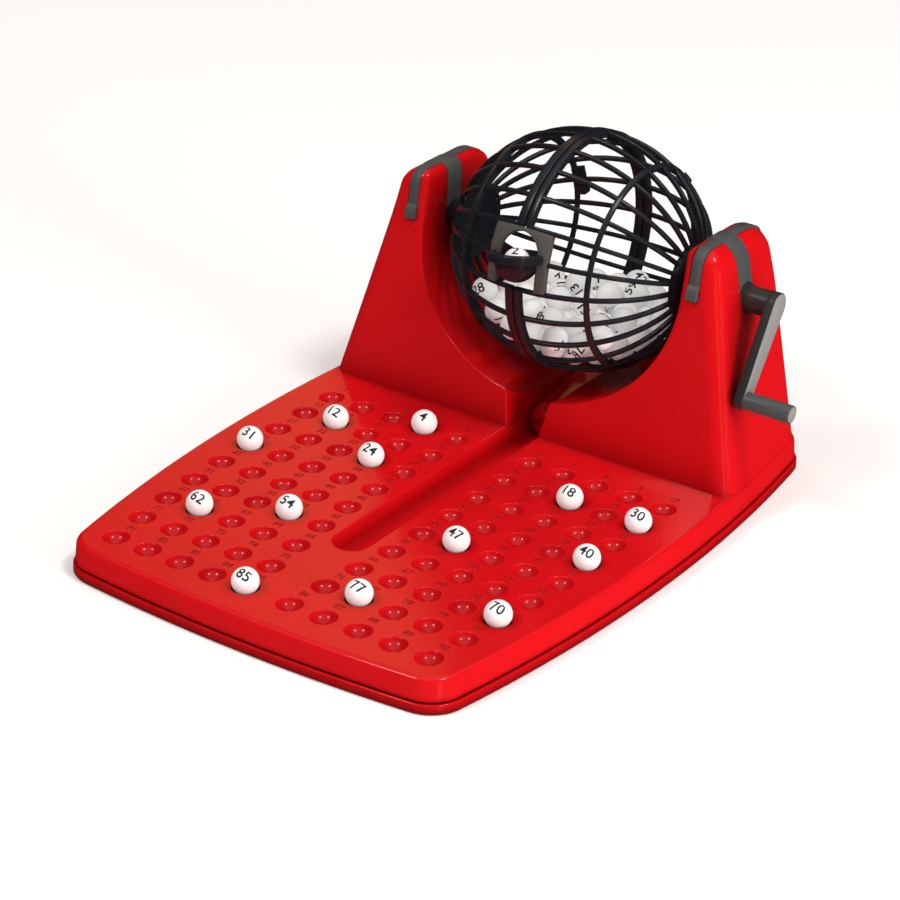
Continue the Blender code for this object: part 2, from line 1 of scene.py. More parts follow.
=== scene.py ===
"""Looks for the bingo cage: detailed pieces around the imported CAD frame, in metres, +Z up."""

import json
import math
from math import cos, pi, radians, sin, sqrt

import bmesh
import bpy
import numpy as np
from mathutils import Matrix, Vector


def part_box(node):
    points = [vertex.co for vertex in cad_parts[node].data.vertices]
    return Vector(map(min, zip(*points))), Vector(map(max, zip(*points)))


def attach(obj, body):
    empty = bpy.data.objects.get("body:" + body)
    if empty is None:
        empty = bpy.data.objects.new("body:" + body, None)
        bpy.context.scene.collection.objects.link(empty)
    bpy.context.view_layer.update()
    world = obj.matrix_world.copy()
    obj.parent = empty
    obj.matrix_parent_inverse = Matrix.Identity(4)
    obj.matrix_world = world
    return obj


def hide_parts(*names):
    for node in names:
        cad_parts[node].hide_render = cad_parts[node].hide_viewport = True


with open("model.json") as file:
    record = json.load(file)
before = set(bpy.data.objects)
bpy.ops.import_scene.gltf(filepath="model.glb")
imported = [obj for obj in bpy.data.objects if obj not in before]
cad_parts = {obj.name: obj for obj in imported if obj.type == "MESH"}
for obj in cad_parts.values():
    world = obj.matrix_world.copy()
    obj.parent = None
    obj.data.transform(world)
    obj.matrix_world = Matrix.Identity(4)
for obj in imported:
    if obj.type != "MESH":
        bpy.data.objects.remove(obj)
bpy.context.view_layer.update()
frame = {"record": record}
record = frame["record"]

# Sizes that the frame gives.
BASE_LOW, BASE_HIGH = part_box("base_plate")
TRAY_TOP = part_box("base_tray")[1].z
HALF_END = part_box("right_cage_half")[1].x
SPIN = next(joint for joint in record["behaviour"]["joints"] if joint["name"] == "cage_spin")
AXLE_Y = SPIN["pos_m"][1]
AXLE_Z = SPIN["pos_m"][2]

# Base outline, as in the CAD.
BASE_HALF = BASE_HIGH.x
BASE_FRONT = BASE_LOW.y
BASE_BACK = BASE_HIGH.y
SIDE_BOW = 0.800
SIDE_BOW_Y = 0.015
FRONT_BOW = 0.870
BACK_BOW = 1.500
BASE_CORNER = 0.018
FLANGE_TOP = 0.0050
DECK_TOP = TRAY_TOP

# Pits.
PIT_ROWS = 9
PIT_COLUMNS = 5
ROW_PITCH = 0.0211
COLUMN_PITCH = 0.018175
FIRST_ROW_Y = 0.0390
FIRST_COLUMN_X = 0.0207
STRAIGHT_ROWS = 5
TAPER = 0.0088
PIT_SIDES = 40
PIT_MOUTH = 0.0060
PIT_BOWL = 0.00681
PIT_FILLET = 0.0005

# Channel.
CHANNEL_HALF = 0.009
CHANNEL_FRONT = -0.078
CHANNEL_FLOOR = 0.0058
CHANNEL_BACK = 0.084

# Stand.
STAND_FRONT = 0.0643
STAND_BACK = 0.1400
STAND_TOP = 0.123
FRONT_LEAN = 0.191
BACK_LEAN = 0.025
SIDE_LEAN = 0.215
STAND_INSET = 0.0030
CUT_HALF_WIDTH = 0.071
CUT_DEPTH = 0.0635
SIDE_REFERENCE_Y = 0.100
THROAT_TOP = (0.0122, 0.0341)
THROAT_FOOT = (0.0088, 0.0155)
SKIRT_FOOT = 0.0082
CREST_Y = 0.1200
CREST_RADIUS = 0.0250
CREST_FADE = (0.092, 0.121)
TOP_INNER_FILLET = 0.0045
TOP_OUTER_FILLET = 0.012
LIP_THICK = 0.0030
LIP_DROP = 0.007
GROOVE_HALF = 0.0150
GROOVE_RADIUS = 0.0735
GROOVE_FILLET = 0.004
BORE_RADIUS = 0.0044

# Cage.
CAGE_HALF_LENGTH = 0.0642
CAGE_RADIUS = 0.0575
RIBS = 24
RING_X = 0.034


def mesh_of(bm, name):
    mesh = bpy.data.meshes.new(name)
    bm.to_mesh(mesh)
    bm.free()
    return mesh


def linked(name, data):
    obj = bpy.data.objects.new(name, data)
    bpy.context.scene.collection.objects.link(obj)
    return obj


def object_of(name, mesh, materials):
    for finish in materials:
        mesh.materials.append(finish)
    return linked(name, mesh)


def new_object(name, bm, *materials):
    """An object from a bmesh in world coordinates, with its faces turned outwards."""
    bmesh.ops.recalc_face_normals(bm, faces=bm.faces)
    return object_of(name, mesh_of(bm, name), materials)


def smooth(obj, angle=35):
    obj.data.shade_smooth()
    obj.data.set_sharp_from_angle(angle=radians(angle))
    return obj


def apply_modifiers(obj):
    bpy.context.view_layer.update()
    graph = bpy.context.evaluated_depsgraph_get()
    old = obj.data
    obj.data = bpy.data.meshes.new_from_object(obj.evaluated_get(graph))
    obj.modifiers.clear()
    bpy.data.meshes.remove(old)


def cut(target, cutter):
    modifier = target.modifiers.new("Cut", "BOOLEAN")
    modifier.operation = "DIFFERENCE"
    modifier.solver = "EXACT"
    modifier.object = cutter
    apply_modifiers(target)
    bpy.data.objects.remove(cutter)


def bevelled(obj, width, segments, angle=30):
    """Rounds the edges that are sharper than an angle."""
    bevel = obj.modifiers.new("Edge", "BEVEL")
    bevel.width = width
    bevel.segments = segments
    bevel.limit_method = "ANGLE"
    bevel.angle_limit = radians(angle)
    apply_modifiers(obj)
    return obj


def finish_piece(obj, body, slot, *nodes):
    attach(obj, body)
    if nodes:
        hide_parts(*nodes)
    return obj


def loft(rings, bm=None, ends="capped"):
    """Quads through rings of equal point count; the ends are "capped", "open" or "joined" to each other."""
    bm = bm or bmesh.new()
    rows = [[bm.verts.new(point) for point in ring] for ring in rings]
    pairs = list(zip(rows, rows[1:]))
    if ends == "joined":
        pairs.append((rows[-1], rows[0]))
    count = len(rows[0])
    for lower, upper in pairs:
        for i in range(count):
            j = (i + 1) % count
            bm.faces.new((lower[i], lower[j], upper[j], upper[i]))
    if ends == "capped":
        bm.faces.new(rows[0])
        bm.faces.new(rows[-1])
    return bm, rows


def arc(centre, radius, start, end, steps):
    angles = np.linspace(start, end, steps + 1)
    return [(centre[0] + radius * cos(a), centre[1] + radius * sin(a)) for a in angles]


def full_turn(sides):
    return np.linspace(0, 2 * pi, sides + 1)[:-1]


def circle(centre, radius, sides):
    return [(centre[0] + radius * cos(a), centre[1] + radius * sin(a)) for a in full_turn(sides)]


def mix(a, b, t):
    """The point a share t of the way from a to b."""
    return (a[0] + (b[0] - a[0]) * t, a[1] + (b[1] - a[1]) * t)


def absorb(target, *others):
    """Adds the meshes of other objects to the target's, as they are."""
    bm = bmesh.new()
    bm.from_mesh(target.data)
    for other in others:
        bm.from_mesh(other.data)
        bpy.data.objects.remove(other)
    bm.to_mesh(target.data)
    bm.free()
    return target


# ---- Materials ----

PURE_WHITE = (1.0, 1.0, 1.0, 1.0)


def set_inputs(node, values):
    for socket, value in values.items():
        node.inputs[socket].default_value = value


def add_node(nodes, kind, values):
    node = nodes.new(kind)
    set_inputs(node, values)
    return node


def plastic(name, colour, roughness, variation=0.06, bump=0.02, grain=900.0, painted_shade_reach=0.0, painted_glow=0.0):
    """Moulded plastic: uneven colour and gloss, fine grain and, if asked, painted shade that darkens the
    colour in hollows and creases, and a painted glow.
    """
    made = bpy.data.materials.new(name)
    made.use_nodes = True
    nodes = made.node_tree.nodes
    links = made.node_tree.links
    shader = nodes["Principled BSDF"]
    place = nodes.new("ShaderNodeTexCoord")
    cloud = add_node(nodes, "ShaderNodeTexNoise", {"Scale": 14.0, "Detail": 3.0})
    links.new(place.outputs["Object"], cloud.inputs["Vector"])
    tone = nodes.new("ShaderNodeValToRGB")
    for element, position, sign in zip(tone.color_ramp.elements, (0.3, 0.7), (-1, 1)):
        factor = 1 + sign * variation
        element.position = position
        element.color = (*[min(1.0, c * factor) for c in colour], 1.0)
    links.new(cloud.outputs["Fac"], tone.inputs["Fac"])
    shade = tone
    # Painted shade: an ambient occlusion node darkens the colour where other surfaces are near, in pits,
    # channels, creases and under parts.
    if painted_shade_reach:
        shade = add_node(nodes, "ShaderNodeAmbientOcclusion", {"Distance": painted_shade_reach})
        shade.samples = 8
        links.new(tone.outputs["Color"], shade.inputs["Color"])
    links.new(shade.outputs["Color"], shader.inputs["Base Color"])
    gloss = add_node(nodes, "ShaderNodeMapRange", {"To Min": roughness * 0.85, "To Max": roughness * 1.15})
    links.new(cloud.outputs["Fac"], gloss.inputs["Value"])
    links.new(gloss.outputs["Result"], shader.inputs["Roughness"])
    fine = add_node(nodes, "ShaderNodeTexNoise", {"Scale": grain, "Detail": 2.0})
    links.new(place.outputs["Object"], fine.inputs["Vector"])
    relief = add_node(nodes, "ShaderNodeBump", {"Strength": bump, "Distance": 0.0003})
    links.new(fine.outputs["Fac"], relief.inputs["Height"])
    links.new(relief.outputs["Normal"], shader.inputs["Normal"])
    # A glow above zero is a painted glow: the surface emits light in its own colour though it is no lamp.
    set_inputs(shader, {"Emission Color": (*colour, 1.0), "Emission Strength": painted_glow})
    return made


GLOSSY_RED = {"variation": 0.03, "bump": 0.006, "grain": 500.0}
# Both reds carry painted shade in hollows. The stand and base plate use a slightly darker copy of the same
# red, whose painted shade reaches further and deepens the cradle and chute.
RED = plastic("red_gloss", (0.64, 0.0048, 0.0085), 0.12, **GLOSSY_RED, painted_shade_reach=0.006)
STAND_RED_DEEP_SHADE = plastic("stand_red_gloss_deep_painted_shade", (0.62, 0.0038, 0.0070), 0.12, **GLOSSY_RED, painted_shade_reach=0.020)
NUMERAL_RED = plastic("numeral_red", (0.40, 0.003, 0.005), 0.3, variation=0.1)
CLIP = plastic("clip_satin", (0.070, 0.074, 0.074), 0.42, variation=0.12, bump=0.12, grain=1400.0)
CRANK = plastic("crank_satin", (0.024, 0.026, 0.026), 0.34, variation=0.12, bump=0.08, grain=1400.0)
HANDLE = plastic("handle_satin", (0.070, 0.073, 0.073), 0.34, variation=0.12, bump=0.08, grain=1400.0)
CRANK_FACE = plastic("crank_face", (0.27, 0.265, 0.26), 0.38, variation=0.08, bump=0.08, grain=1400.0)
BLACK = plastic("cage_gloss", (0.012, 0.014, 0.018), 0.22, variation=0.15, bump=0.01, grain=500.0)
FRAME = plastic("frame_matte", (0.085, 0.078, 0.070), 0.6, variation=0.12, bump=0.15, grain=1800.0)
# The balls carry a painted glow, a faint emission that brightens them.
WHITE = plastic("ball_white", (0.90, 0.90, 0.90), 0.25, variation=0.02, bump=0.02, grain=900.0, painted_glow=0.12)
INK = plastic("ball_ink", (0.012, 0.012, 0.014), 0.45, variation=0.15)


def turned_x(profile, side=1, centre=(AXLE_Y, AXLE_Z), sides=48, finish=None):
    """A profile of (radius, x) turned about a line along X, the axle unless a centre is given."""
    rings = [[(side * x, y, z) for y, z in circle(centre, radius, sides)] for radius, x in profile]
    bm, _ = loft(rings)
    return new_object("turned", bm, finish or BLACK)


# ---- Base ----

def circles_meet(first, first_radius, second, second_radius, near_y):
    apart = math.dist(first, second)
    along = (first_radius**2 - second_radius**2 + apart**2) / (2 * apart)
    aside = sqrt(first_radius**2 - along**2)
    ux = (second[0] - first[0]) / apart
    uy = (second[1] - first[1]) / apart
    foot = (first[0] + along * ux, first[1] + along * uy)
    found = [(foot[0] - aside * uy, foot[1] + aside * ux), (foot[0] + aside * uy, foot[1] - aside * ux)]
    return min((point for point in found if point[0] > 0), key=lambda point: abs(point[1] - near_y))


def outline(inset):
    """The base's plan: bowed sides, front and back, and rounded corners."""
    corner = BASE_CORNER - inset
    side_centre = (BASE_HALF - SIDE_BOW, SIDE_BOW_Y)
    side_radius = SIDE_BOW - inset
    front_centre = (0.0, BASE_FRONT + inset + FRONT_BOW)
    back_centre = (0.0, BASE_BACK - inset - BACK_BOW)
    front_corner = circles_meet(
        side_centre, side_radius - corner, front_centre, FRONT_BOW - corner, BASE_FRONT
    )
    back_corner = circles_meet(side_centre, side_radius - corner, back_centre, BACK_BOW - corner, BASE_BACK)

    def direction(start, end):
        return math.atan2(end[1] - start[1], end[0] - start[0])

    front_angle = direction(front_centre, front_corner)
    side_front = direction(side_centre, front_corner)
    side_back = direction(side_centre, back_corner)
    back_angle = direction(back_centre, back_corner)
    right = arc(front_centre, FRONT_BOW, -pi / 2, front_angle, 14)
    right += arc(front_corner, corner, front_angle, side_front, 16)[1:]
    right += arc(side_centre, side_radius, side_front, side_back, 40)[1:]
    right += arc(back_corner, corner, side_back, back_angle, 16)[1:]
    right += arc(back_centre, BACK_BOW, back_angle, pi / 2, 14)[1:]
    left = [(-x, y) for x, y in reversed(right[1:-1])]
    return right + left


def base_ring(inset, z):
    return [(x, y, z) for x, y in outline(inset)]


def make_base_plate():
    profile = [(0.0012, 0.0), (0.0004, 0.0003), (0.0, 0.0010), (0.0, FLANGE_TOP - 0.0007)]
    profile += [(0.0002, FLANGE_TOP - 0.0002), (0.0006, FLANGE_TOP), (0.0022, FLANGE_TOP), (0.0022, 0.0016)]
    bm, _ = loft([base_ring(inset, z) for inset, z in profile])
    plate = smooth(new_object("base_plate_body", bm, STAND_RED_DEEP_SHADE), 50)
    return finish_piece(plate, "base", "red_moulding", "base_plate")


def pit_centre(row, column):
    """The pit in a row from the back (1 to 9) and a column from the left (1 to 10)."""
    bend = max(0, row - STRAIGHT_ROWS) / (PIT_ROWS - STRAIGHT_ROWS)
    first = FIRST_COLUMN_X - TAPER * bend**1.35
    if column <= PIT_COLUMNS:
        x = -first - (PIT_COLUMNS - column) * COLUMN_PITCH
    else:
        x = first + (column - PIT_COLUMNS - 1) * COLUMN_PITCH
    return x, FIRST_ROW_Y - (row - 1) * ROW_PITCH


def pit_profile():
    """(radius, depth) from the flat deck, over a small fillet, to the bottom of the bowl."""
    slope = math.asin(PIT_MOUTH / PIT_BOWL)
    edge = PIT_MOUTH + PIT_FILLET * sin(slope)
    points = [(edge + 0.00025, 0.0), (edge, 0.0)]
    for step in range(1, 5):
        turn = slope * step / 4
        points.append((edge - PIT_FILLET * sin(turn), -PIT_FILLET * (1 - cos(turn))))
    centre = points[-1][1] + PIT_BOWL * cos(slope)
    for step in range(1, 9):
        turn = slope * (1 - step / 9)
        points.append((PIT_BOWL * sin(turn), centre - PIT_BOWL * cos(turn)))
    return points, centre - PIT_BOWL


def channel_plan(grow, samples=24):
    half = CHANNEL_HALF + grow
    points = arc((0.0, CHANNEL_FRONT + CHANNEL_HALF), half, pi, 2 * pi, samples)
    right = [(half, y) for y in np.linspace(CHANNEL_FRONT + CHANNEL_HALF, CHANNEL_BACK, 12)[1:]]
    left = [(-x, y) for x, y in reversed(right)]
    return points + right + left


def ring_edges(bm, ring):
    return [bm.edges.get((ring[i], ring[(i + 1) % len(ring)])) for i in range(len(ring))]


def make_base_tray():
    lip = FLANGE_TOP + 0.0007
    fillet = 0.0028
    wall_top = DECK_TOP - fillet
    profile = [(0.0026, 0.0046), (0.0026, lip), (0.0014, lip), (0.0011, lip + 0.0003)]
    profile += [(0.0011 + 0.0006 * t, lip + 0.0003 + (wall_top - lip - 0.0003) * t) for t in (0.3, 0.6, 0.9)]
    for step in range(0, 8):
        turn = radians(4 + 86 * step / 7)
        profile.append((0.0017 + fillet * (1 - cos(turn)), wall_top + fillet * sin(turn)))
    profile.append((profile[-1][0] + 0.0004, DECK_TOP))
    bm = bmesh.new()
    rings = [base_ring(inset, z) for inset, z in profile]
    _, rows = loft(rings, bm, ends="open")
    bm.faces.new(rows[0])
    borders = [rows[-1]]
    points, bottom = pit_profile()
    for row in range(1, PIT_ROWS + 1):
        for column in range(1, 2 * PIT_COLUMNS + 1):
            centre = pit_centre(row, column)
            levels = [[(x, y, DECK_TOP + z) for x, y in circle(centre, r, PIT_SIDES)] for r, z in points]
            _, pit_rows = loft(levels, bm, ends="open")
            foot = bm.verts.new((centre[0], centre[1], DECK_TOP + bottom))
            last = pit_rows[-1]
            for i in range(PIT_SIDES):
                bm.faces.new((last[i], last[(i + 1) % PIT_SIDES], foot))
            borders.append(pit_rows[0])
    levels = [[(x, y, DECK_TOP) for x, y in channel_plan(0.0009)]]
    for step in range(1, 6):
        turn = radians(90 * step / 5)
        grow = 0.0006 * (1 - sin(turn))
        drop = 0.0006 * (1 - cos(turn))
        levels.append([(x, y, DECK_TOP - drop) for x, y in channel_plan(grow)])
    trough = 0.0045
    for step in range(0, 7):
        turn = radians(90 * step / 6)
        grow = -trough * (1 - cos(turn))
        z = CHANNEL_FLOOR + trough * (1 - sin(turn))
        levels.append([(x, y, z) for x, y in channel_plan(grow)])
    _, channel_rows = loft(levels, bm, ends="open")
    bm.faces.new(channel_rows[-1])
    borders.append(channel_rows[0])
    edges = [edge for ring in borders for edge in ring_edges(bm, ring)]
    bmesh.ops.triangle_fill(bm, use_beauty=True, edges=edges, normal=(0.0, 0.0, 1.0))
    tray = smooth(new_object("base_tray_deck", bm, RED), 50)
    return finish_piece(tray, "base", "red_moulding", "base_tray")


DIGIT_SHARE = 0.70  # a digit's height as a share of the type size
PIT_NUMERAL = 0.0034
NUMERAL_RISE = 0.0003
NUMERAL_SINK = 0.00022


def flat_text(body, size, bold):
    """A short text as a flat bmesh, centred, with its digits as high as the size."""
    curve = bpy.data.curves.new("text", "FONT")
    curve.body = body
    curve.size = 1.0
    curve.resolution_u = 3
    curve.offset = bold
    curve.align_x = "CENTER"
    curve.align_y = "CENTER"
    holder = linked("text", curve)
    bpy.context.view_layer.update()
    graph = bpy.context.evaluated_depsgraph_get()
    mesh = bpy.data.meshes.new_from_object(holder.evaluated_get(graph))
    bpy.data.objects.remove(holder)
    co = np.array([v.co for v in mesh.vertices], float).reshape(-1, 3)
    middle = (co.min(0) + co.max(0)) / 2
    mesh.transform(Matrix.Scale(size / DIGIT_SHARE, 4) @ Matrix.Translation(-Vector(middle)))
    bm = bmesh.new()
    bm.from_mesh(mesh)
    bpy.data.meshes.remove(mesh)
    return bm


def thicken(bm):
    """Doubles a flat bmesh into a closed shell and returns the vertices of the second sheet."""
    made = bmesh.ops.extrude_face_region(bm, geom=bm.faces[:])
    return [item for item in made["geom"] if isinstance(item, bmesh.types.BMVert)]


def join(meshes, name, *materials):
    """One object from meshes, each with the index of its material."""
    bm = bmesh.new()
    for mesh, index in meshes:
        start = len(bm.faces)
        bm.from_mesh(mesh)
        bm.faces.ensure_lookup_table()
        for face in bm.faces[start:]:
            face.material_index = index
        bpy.data.meshes.remove(mesh)
    return object_of(name, mesh_of(bm, name), materials)


def make_pit_numerals():
    """The moulded number behind each pit, raised a little from the deck."""
    behind = ROW_PITCH / 2 + 0.0002
    parts = []
    for row in range(1, PIT_ROWS + 1):
        for column in range(1, 2 * PIT_COLUMNS + 1):
            x, y = pit_centre(row, column)
            bm = flat_text(str((row - 1) * 2 * PIT_COLUMNS + column), PIT_NUMERAL, 0.02)
            bmesh.ops.translate(bm, vec=(0.0, 0.0, NUMERAL_RISE), verts=thicken(bm))
            bmesh.ops.recalc_face_normals(bm, faces=bm.faces)
            bmesh.ops.translate(bm, vec=(x, y + behind, DECK_TOP - NUMERAL_SINK), verts=bm.verts)
            parts.append((mesh_of(bm, "numeral"), 0))
    numerals = join(parts, "pit_numerals", NUMERAL_RED)
    return finish_piece(numerals, "base", "red_moulding")


# ---- Stand ----

def side_at(y):
    """Half the base's width at one depth."""
    return BASE_HALF - SIDE_BOW + sqrt(SIDE_BOW**2 - (y - SIDE_BOW_Y) ** 2)


def front_face(z):
    return STAND_FRONT + FRONT_LEAN * (z - DECK_TOP)


def back_face(z):
    return STAND_BACK - BACK_LEAN * (z - DECK_TOP)


def side_x(z):
    return side_at(SIDE_REFERENCE_Y) - STAND_INSET - SIDE_LEAN * (z - DECK_TOP)


def bow(x, y):
    """Moves a point of the tower's flat section out to the bowed side of the base."""
    if x <= CUT_HALF_WIDTH:
        return x
    reach = side_at(y) - STAND_INSET - CUT_HALF_WIDTH
    return CUT_HALF_WIDTH + (x - CUT_HALF_WIDTH) * reach / (side_x(DECK_TOP) - CUT_HALF_WIDTH)


def fillet_corner(before, corner, after, radius, steps):
    """Points of the arc that rounds a corner of a polyline."""
    first = (Vector(before) - Vector(corner)).normalized()
    second = (Vector(after) - Vector(corner)).normalized()
    half = first.angle(second) / 2
    reach = radius / math.tan(half)
    middle = (first + second).normalized() * (radius / sin(half)) + Vector(corner)
    start = Vector(corner) + first * reach - middle
    turn = pi - 2 * half
    sign = 1 if start.x * (second.y - first.y) - start.y * (second.x - first.x) > 0 else -1
    points = []
    for step in range(steps + 1):
        spin = Matrix.Rotation(sign * turn * step / steps, 2)
        points.append(tuple(middle + spin @ start))
    return points


def ramp(value, low, high):
    t = min(1.0, max(0.0, (value - low) / (high - low)))
    return t * t * (3 - 2 * t)


def fall(y, z):
    """Lets the top of the towers curve down towards the back."""
    reach = min(max(0.0, y - CREST_Y), CREST_RADIUS * 0.95)
    drop = CREST_RADIUS - sqrt(CREST_RADIUS**2 - reach**2)
    return z - drop * ramp(z, *CREST_FADE)


def tower_loop():
    """The right tower's front view as (x, z, front fillet, back fillet), from its outer foot over the top."""
    foot = (side_x(SKIRT_FOOT), SKIRT_FOOT)
    outer_top = (side_x(STAND_TOP), STAND_TOP)
    inner_top = (CUT_HALF_WIDTH, STAND_TOP)
    points = [(side_x(z), z) for z in np.linspace(SKIRT_FOOT, 0.106, 16)]
    points += fillet_corner(foot, outer_top, inner_top, TOP_OUTER_FILLET, 12)
    points += fillet_corner(outer_top, inner_top, (CUT_HALF_WIDTH, AXLE_Z), TOP_INNER_FILLET, 8)
    points += [(CUT_HALF_WIDTH, z) for z in np.linspace(0.114, AXLE_Z, 7)]
    last = math.acos(THROAT_TOP[0] / CUT_HALF_WIDTH)
    oval = []
    for angle in np.linspace(0.0, last, 40)[1:]:
        oval.append((CUT_HALF_WIDTH * cos(angle), AXLE_Z - CUT_DEPTH * sin(angle)))
    corner = oval[-1]
    points += oval[:-2]
    points += fillet_corner(oval[-3], corner, THROAT_FOOT, 0.0016, 6)
    points += [mix(THROAT_FOOT, corner, t) for t in (0.75, 0.5, 0.25, 0.0)]
    loop = []
    for x, z in points:
        out = ramp(x, 0.074, 0.080)
        high = ramp(z, 0.070, 0.108)
        inner_fillet = 0.0009 + 0.0028 * high
        outer_fillet = 0.0088 - 0.0018 * ramp(z, 0.100, 0.122)
        front = inner_fillet * (1 - out) + outer_fillet * out
        back = 0.0009 * (1 - out) + 0.0042 * out + 0.003 * high * (1 - out)
        if z < DECK_TOP - 0.0005 and x < 0.05:
            front = back = 0.0006
        loop.append((x, z, front, back))
    return loop


def rounded_rings(loop, normals, face, index, sign, steps=8):
    """Rings from a face to the full section, which round the edge by each point's own fillet."""
    rings = []
    for step in range(steps + 1):
        turn = radians(90 * step / steps)
        ring = []
        for point, (nx, nz) in zip(loop, normals):
            fillet = point[index]
            move = fillet * (1 - sin(turn))
            px, pz = point[0] + nx * move, point[1] + nz * move
            ring.append((px, face(pz) + sign * fillet * (1 - cos(turn)), pz))
        rings.append(ring)
    return rings


def tower_mesh(side):
    """One tower: its front view carried from the leaning front face to the back one, with rounded edges."""
    loop = tower_loop()
    count = len(loop)
    normals = []
    for i in range(count):
        before = loop[max(i - 1, 0)]
        after = loop[min(i + 1, count - 1)]
        along = Vector((after[0] - before[0], after[1] - before[1])).normalized()
        normals.append((-along.y, along.x))
    rings = rounded_rings(loop, normals, front_face, 2, 1)
    for share in np.linspace(0, 1, 16)[1:-1]:
        ring = []
        for x, z, front, back in loop:
            start = front_face(z) + front
            end = back_face(z) - back
            ring.append((x, start + (end - start) * share, z))
        rings.append(ring)
    rings += reversed(rounded_rings(loop, normals, back_face, 3, -1))
    rings = [[(side * bow(x, y), y, fall(y, z)) for x, y, z in ring] for ring in rings]
    bm, _ = loft(rings)
    return new_object("tower", bm, STAND_RED_DEEP_SHADE)


def oval_height(x, half_width, depth):
    return AXLE_Z - depth * sqrt(max(0.0, 1 - (x / half_width) ** 2))


def make_lip():
    """The low wall along the back of the cradle, which keeps balls from rolling out behind."""
    inner_y = STAND_BACK - LIP_THICK
    rings = []
    for x in np.linspace(-0.066, 0.066, 67):
        top = oval_height(x, 0.069, CUT_DEPTH - LIP_DROP)
        back = back_face(top)
        rings.append([(x, inner_y, 0.018), (x, inner_y, top - 0.0006), (x, inner_y + 0.0005, top),
                      (x, back - 0.0006, top), (x, back, top - 0.0006), (x, back_face(0.018), 0.018)])
    bm, _ = loft(rings)
    return new_object("lip", bm, STAND_RED_DEEP_SHADE)


def make_chute_floor():
    """The floor of the chute, which falls from the back towards the channel."""
    rings = []
    for y, z in ((CHANNEL_BACK - 0.0012, DECK_TOP - 0.004), (CHANNEL_BACK, DECK_TOP),
                 (0.128, DECK_TOP + 0.006), (0.1325, DECK_TOP + 0.0066)):
        rings.append([(-0.0105, y, 0.014), (0.0105, y, 0.014), (0.0105, y, z), (-0.0105, y, z)])
    bm, _ = loft(rings)
    return new_object("chute_floor", bm, STAND_RED_DEEP_SHADE)


def groove_cutter():
    """The room that the cup sweeps, with rounded sides."""
    fillet = GROOVE_FILLET
    profile = [(-GROOVE_HALF, GROOVE_RADIUS - fillet)]
    profile += [(-GROOVE_HALF + fillet * (1 - cos(a)), GROOVE_RADIUS - fillet + fillet * sin(a))
                for a in np.linspace(0, pi / 2, 6)[1:]]
    profile += [(-x, r) for x, r in reversed(profile)]
    return turned_x([(r, x) for x, r in profile], sides=96, finish=STAND_RED_DEEP_SHADE)


def offset_path(points, distance):
    moved = []
    for i, point in enumerate(points):
        before = Vector(points[max(i - 1, 0)])
        after = Vector(points[min(i + 1, len(points) - 1)])
        along = (after - before).normalized()
        moved.append((point[0] - along.y * distance, point[1] + along.x * distance))
    return moved


STRAP_X = 0.0780
STRAP_FOOT = 0.100
LONG_HALF = 0.0027
CROSS_HALF = 0.0056
STRAP_PROUD = 0.0004
STRAP_DEPTH = 0.0016
STRAP_GAP = 0.0004
CROSS_FOOT = 0.1015
RECESS_PROUD = 0.003
RECESS_DEPTH = 0.0013
CLIP_BORE = 0.0072
CLIP_EDGE = 0.0003
HOOK_LEVELS = ((0.1004, 0.0014), (0.1006, 0.0018), (0.1034, 0.0019), (0.1052, 0.0016), (0.1064, 0.0009),
               (0.1072, 0.0003))


def long_path(foot=STRAP_FOOT):
    """Depth-wise section over the tower top at the strap, from front foot to back foot, as (y, z)."""
    corner = (front_face(STAND_TOP), STAND_TOP)
    back_corner = (back_face(STAND_TOP), STAND_TOP)
    front = [(front_face(z), z) for z in np.linspace(foot, 0.114, 5)]
    front += fillet_corner(front[0], corner, back_corner, 0.0072, 8)
    back = fillet_corner(corner, back_corner, (back_face(foot), foot), 0.0045, 8)
    top = [(y, STAND_TOP) for y in np.linspace(front[-1][0], back[0][0], 14)[1:-1]]
    back += [(back_face(z), z) for z in np.linspace(0.115, foot, 6)]
    return [(y, fall(y, z)) for y, z in front + top + back]


def cross_path(foot_inner=CROSS_FOOT):
    """Width-wise section over the right tower at the strap, from inner foot to outer foot, as (x, z)."""
    inner_top = (CUT_HALF_WIDTH, STAND_TOP)
    outer_top = (side_x(STAND_TOP), STAND_TOP)
    points = [(CUT_HALF_WIDTH, z) for z in np.linspace(foot_inner, 0.1175, 4)]
    points += fillet_corner((CUT_HALF_WIDTH, AXLE_Z), inner_top, outer_top, TOP_INNER_FILLET, 6)
    points += fillet_corner(inner_top, outer_top, (side_x(AXLE_Z), AXLE_Z), TOP_OUTER_FILLET, 12)
    points += [(side_x(z), z) for z in np.linspace(0.1085, AXLE_Z - 0.001, 5)]
    return [(bow(x, AXLE_Y), z) for x, z in points]


def strap_mesh(path, axis, centre, half_width, proud, depth, edge=0.0):
    """A strip along a path over the tower, from below its surface to just proud of it."""
    outer = offset_path(path, proud)
    shoulder = offset_path(path, proud - edge)
    inner = offset_path(path, proud - depth)
    rings = []
    for i in range(len(path)):
        if edge:
            soft = mix(shoulder[i], outer[i], 0.7)
            across = [(-half_width, inner[i]), (-half_width, shoulder[i]), (-half_width + edge * 0.4, soft),
                      (-half_width + edge, outer[i]), (half_width - edge, outer[i]),
                      (half_width - edge * 0.4, soft), (half_width, shoulder[i]), (half_width, inner[i])]
        else:
            across = [(-half_width, inner[i]), (-half_width, outer[i])]
            across += [(half_width, outer[i]), (half_width, inner[i])]
        ring = []
        for aside, (first, z) in across:
            if axis == "X":
                ring.append((centre + aside, first, z))
            else:
                ring.append((first, centre + aside, z))
        rings.append(ring)
    bm, _ = loft(rings)
    return bm


def mirrored(obj, side):
    if side < 0:
        obj.data.transform(Matrix.Scale(-1, 4, (1, 0, 0)))
        obj.data.flip_normals()
    return obj


def axle_bore(radius, sides, x_from, x_to, finish):
    """A round cutter along the axle."""
    return turned_x([(radius, x_from), (radius, x_to)], sides=sides, finish=finish)


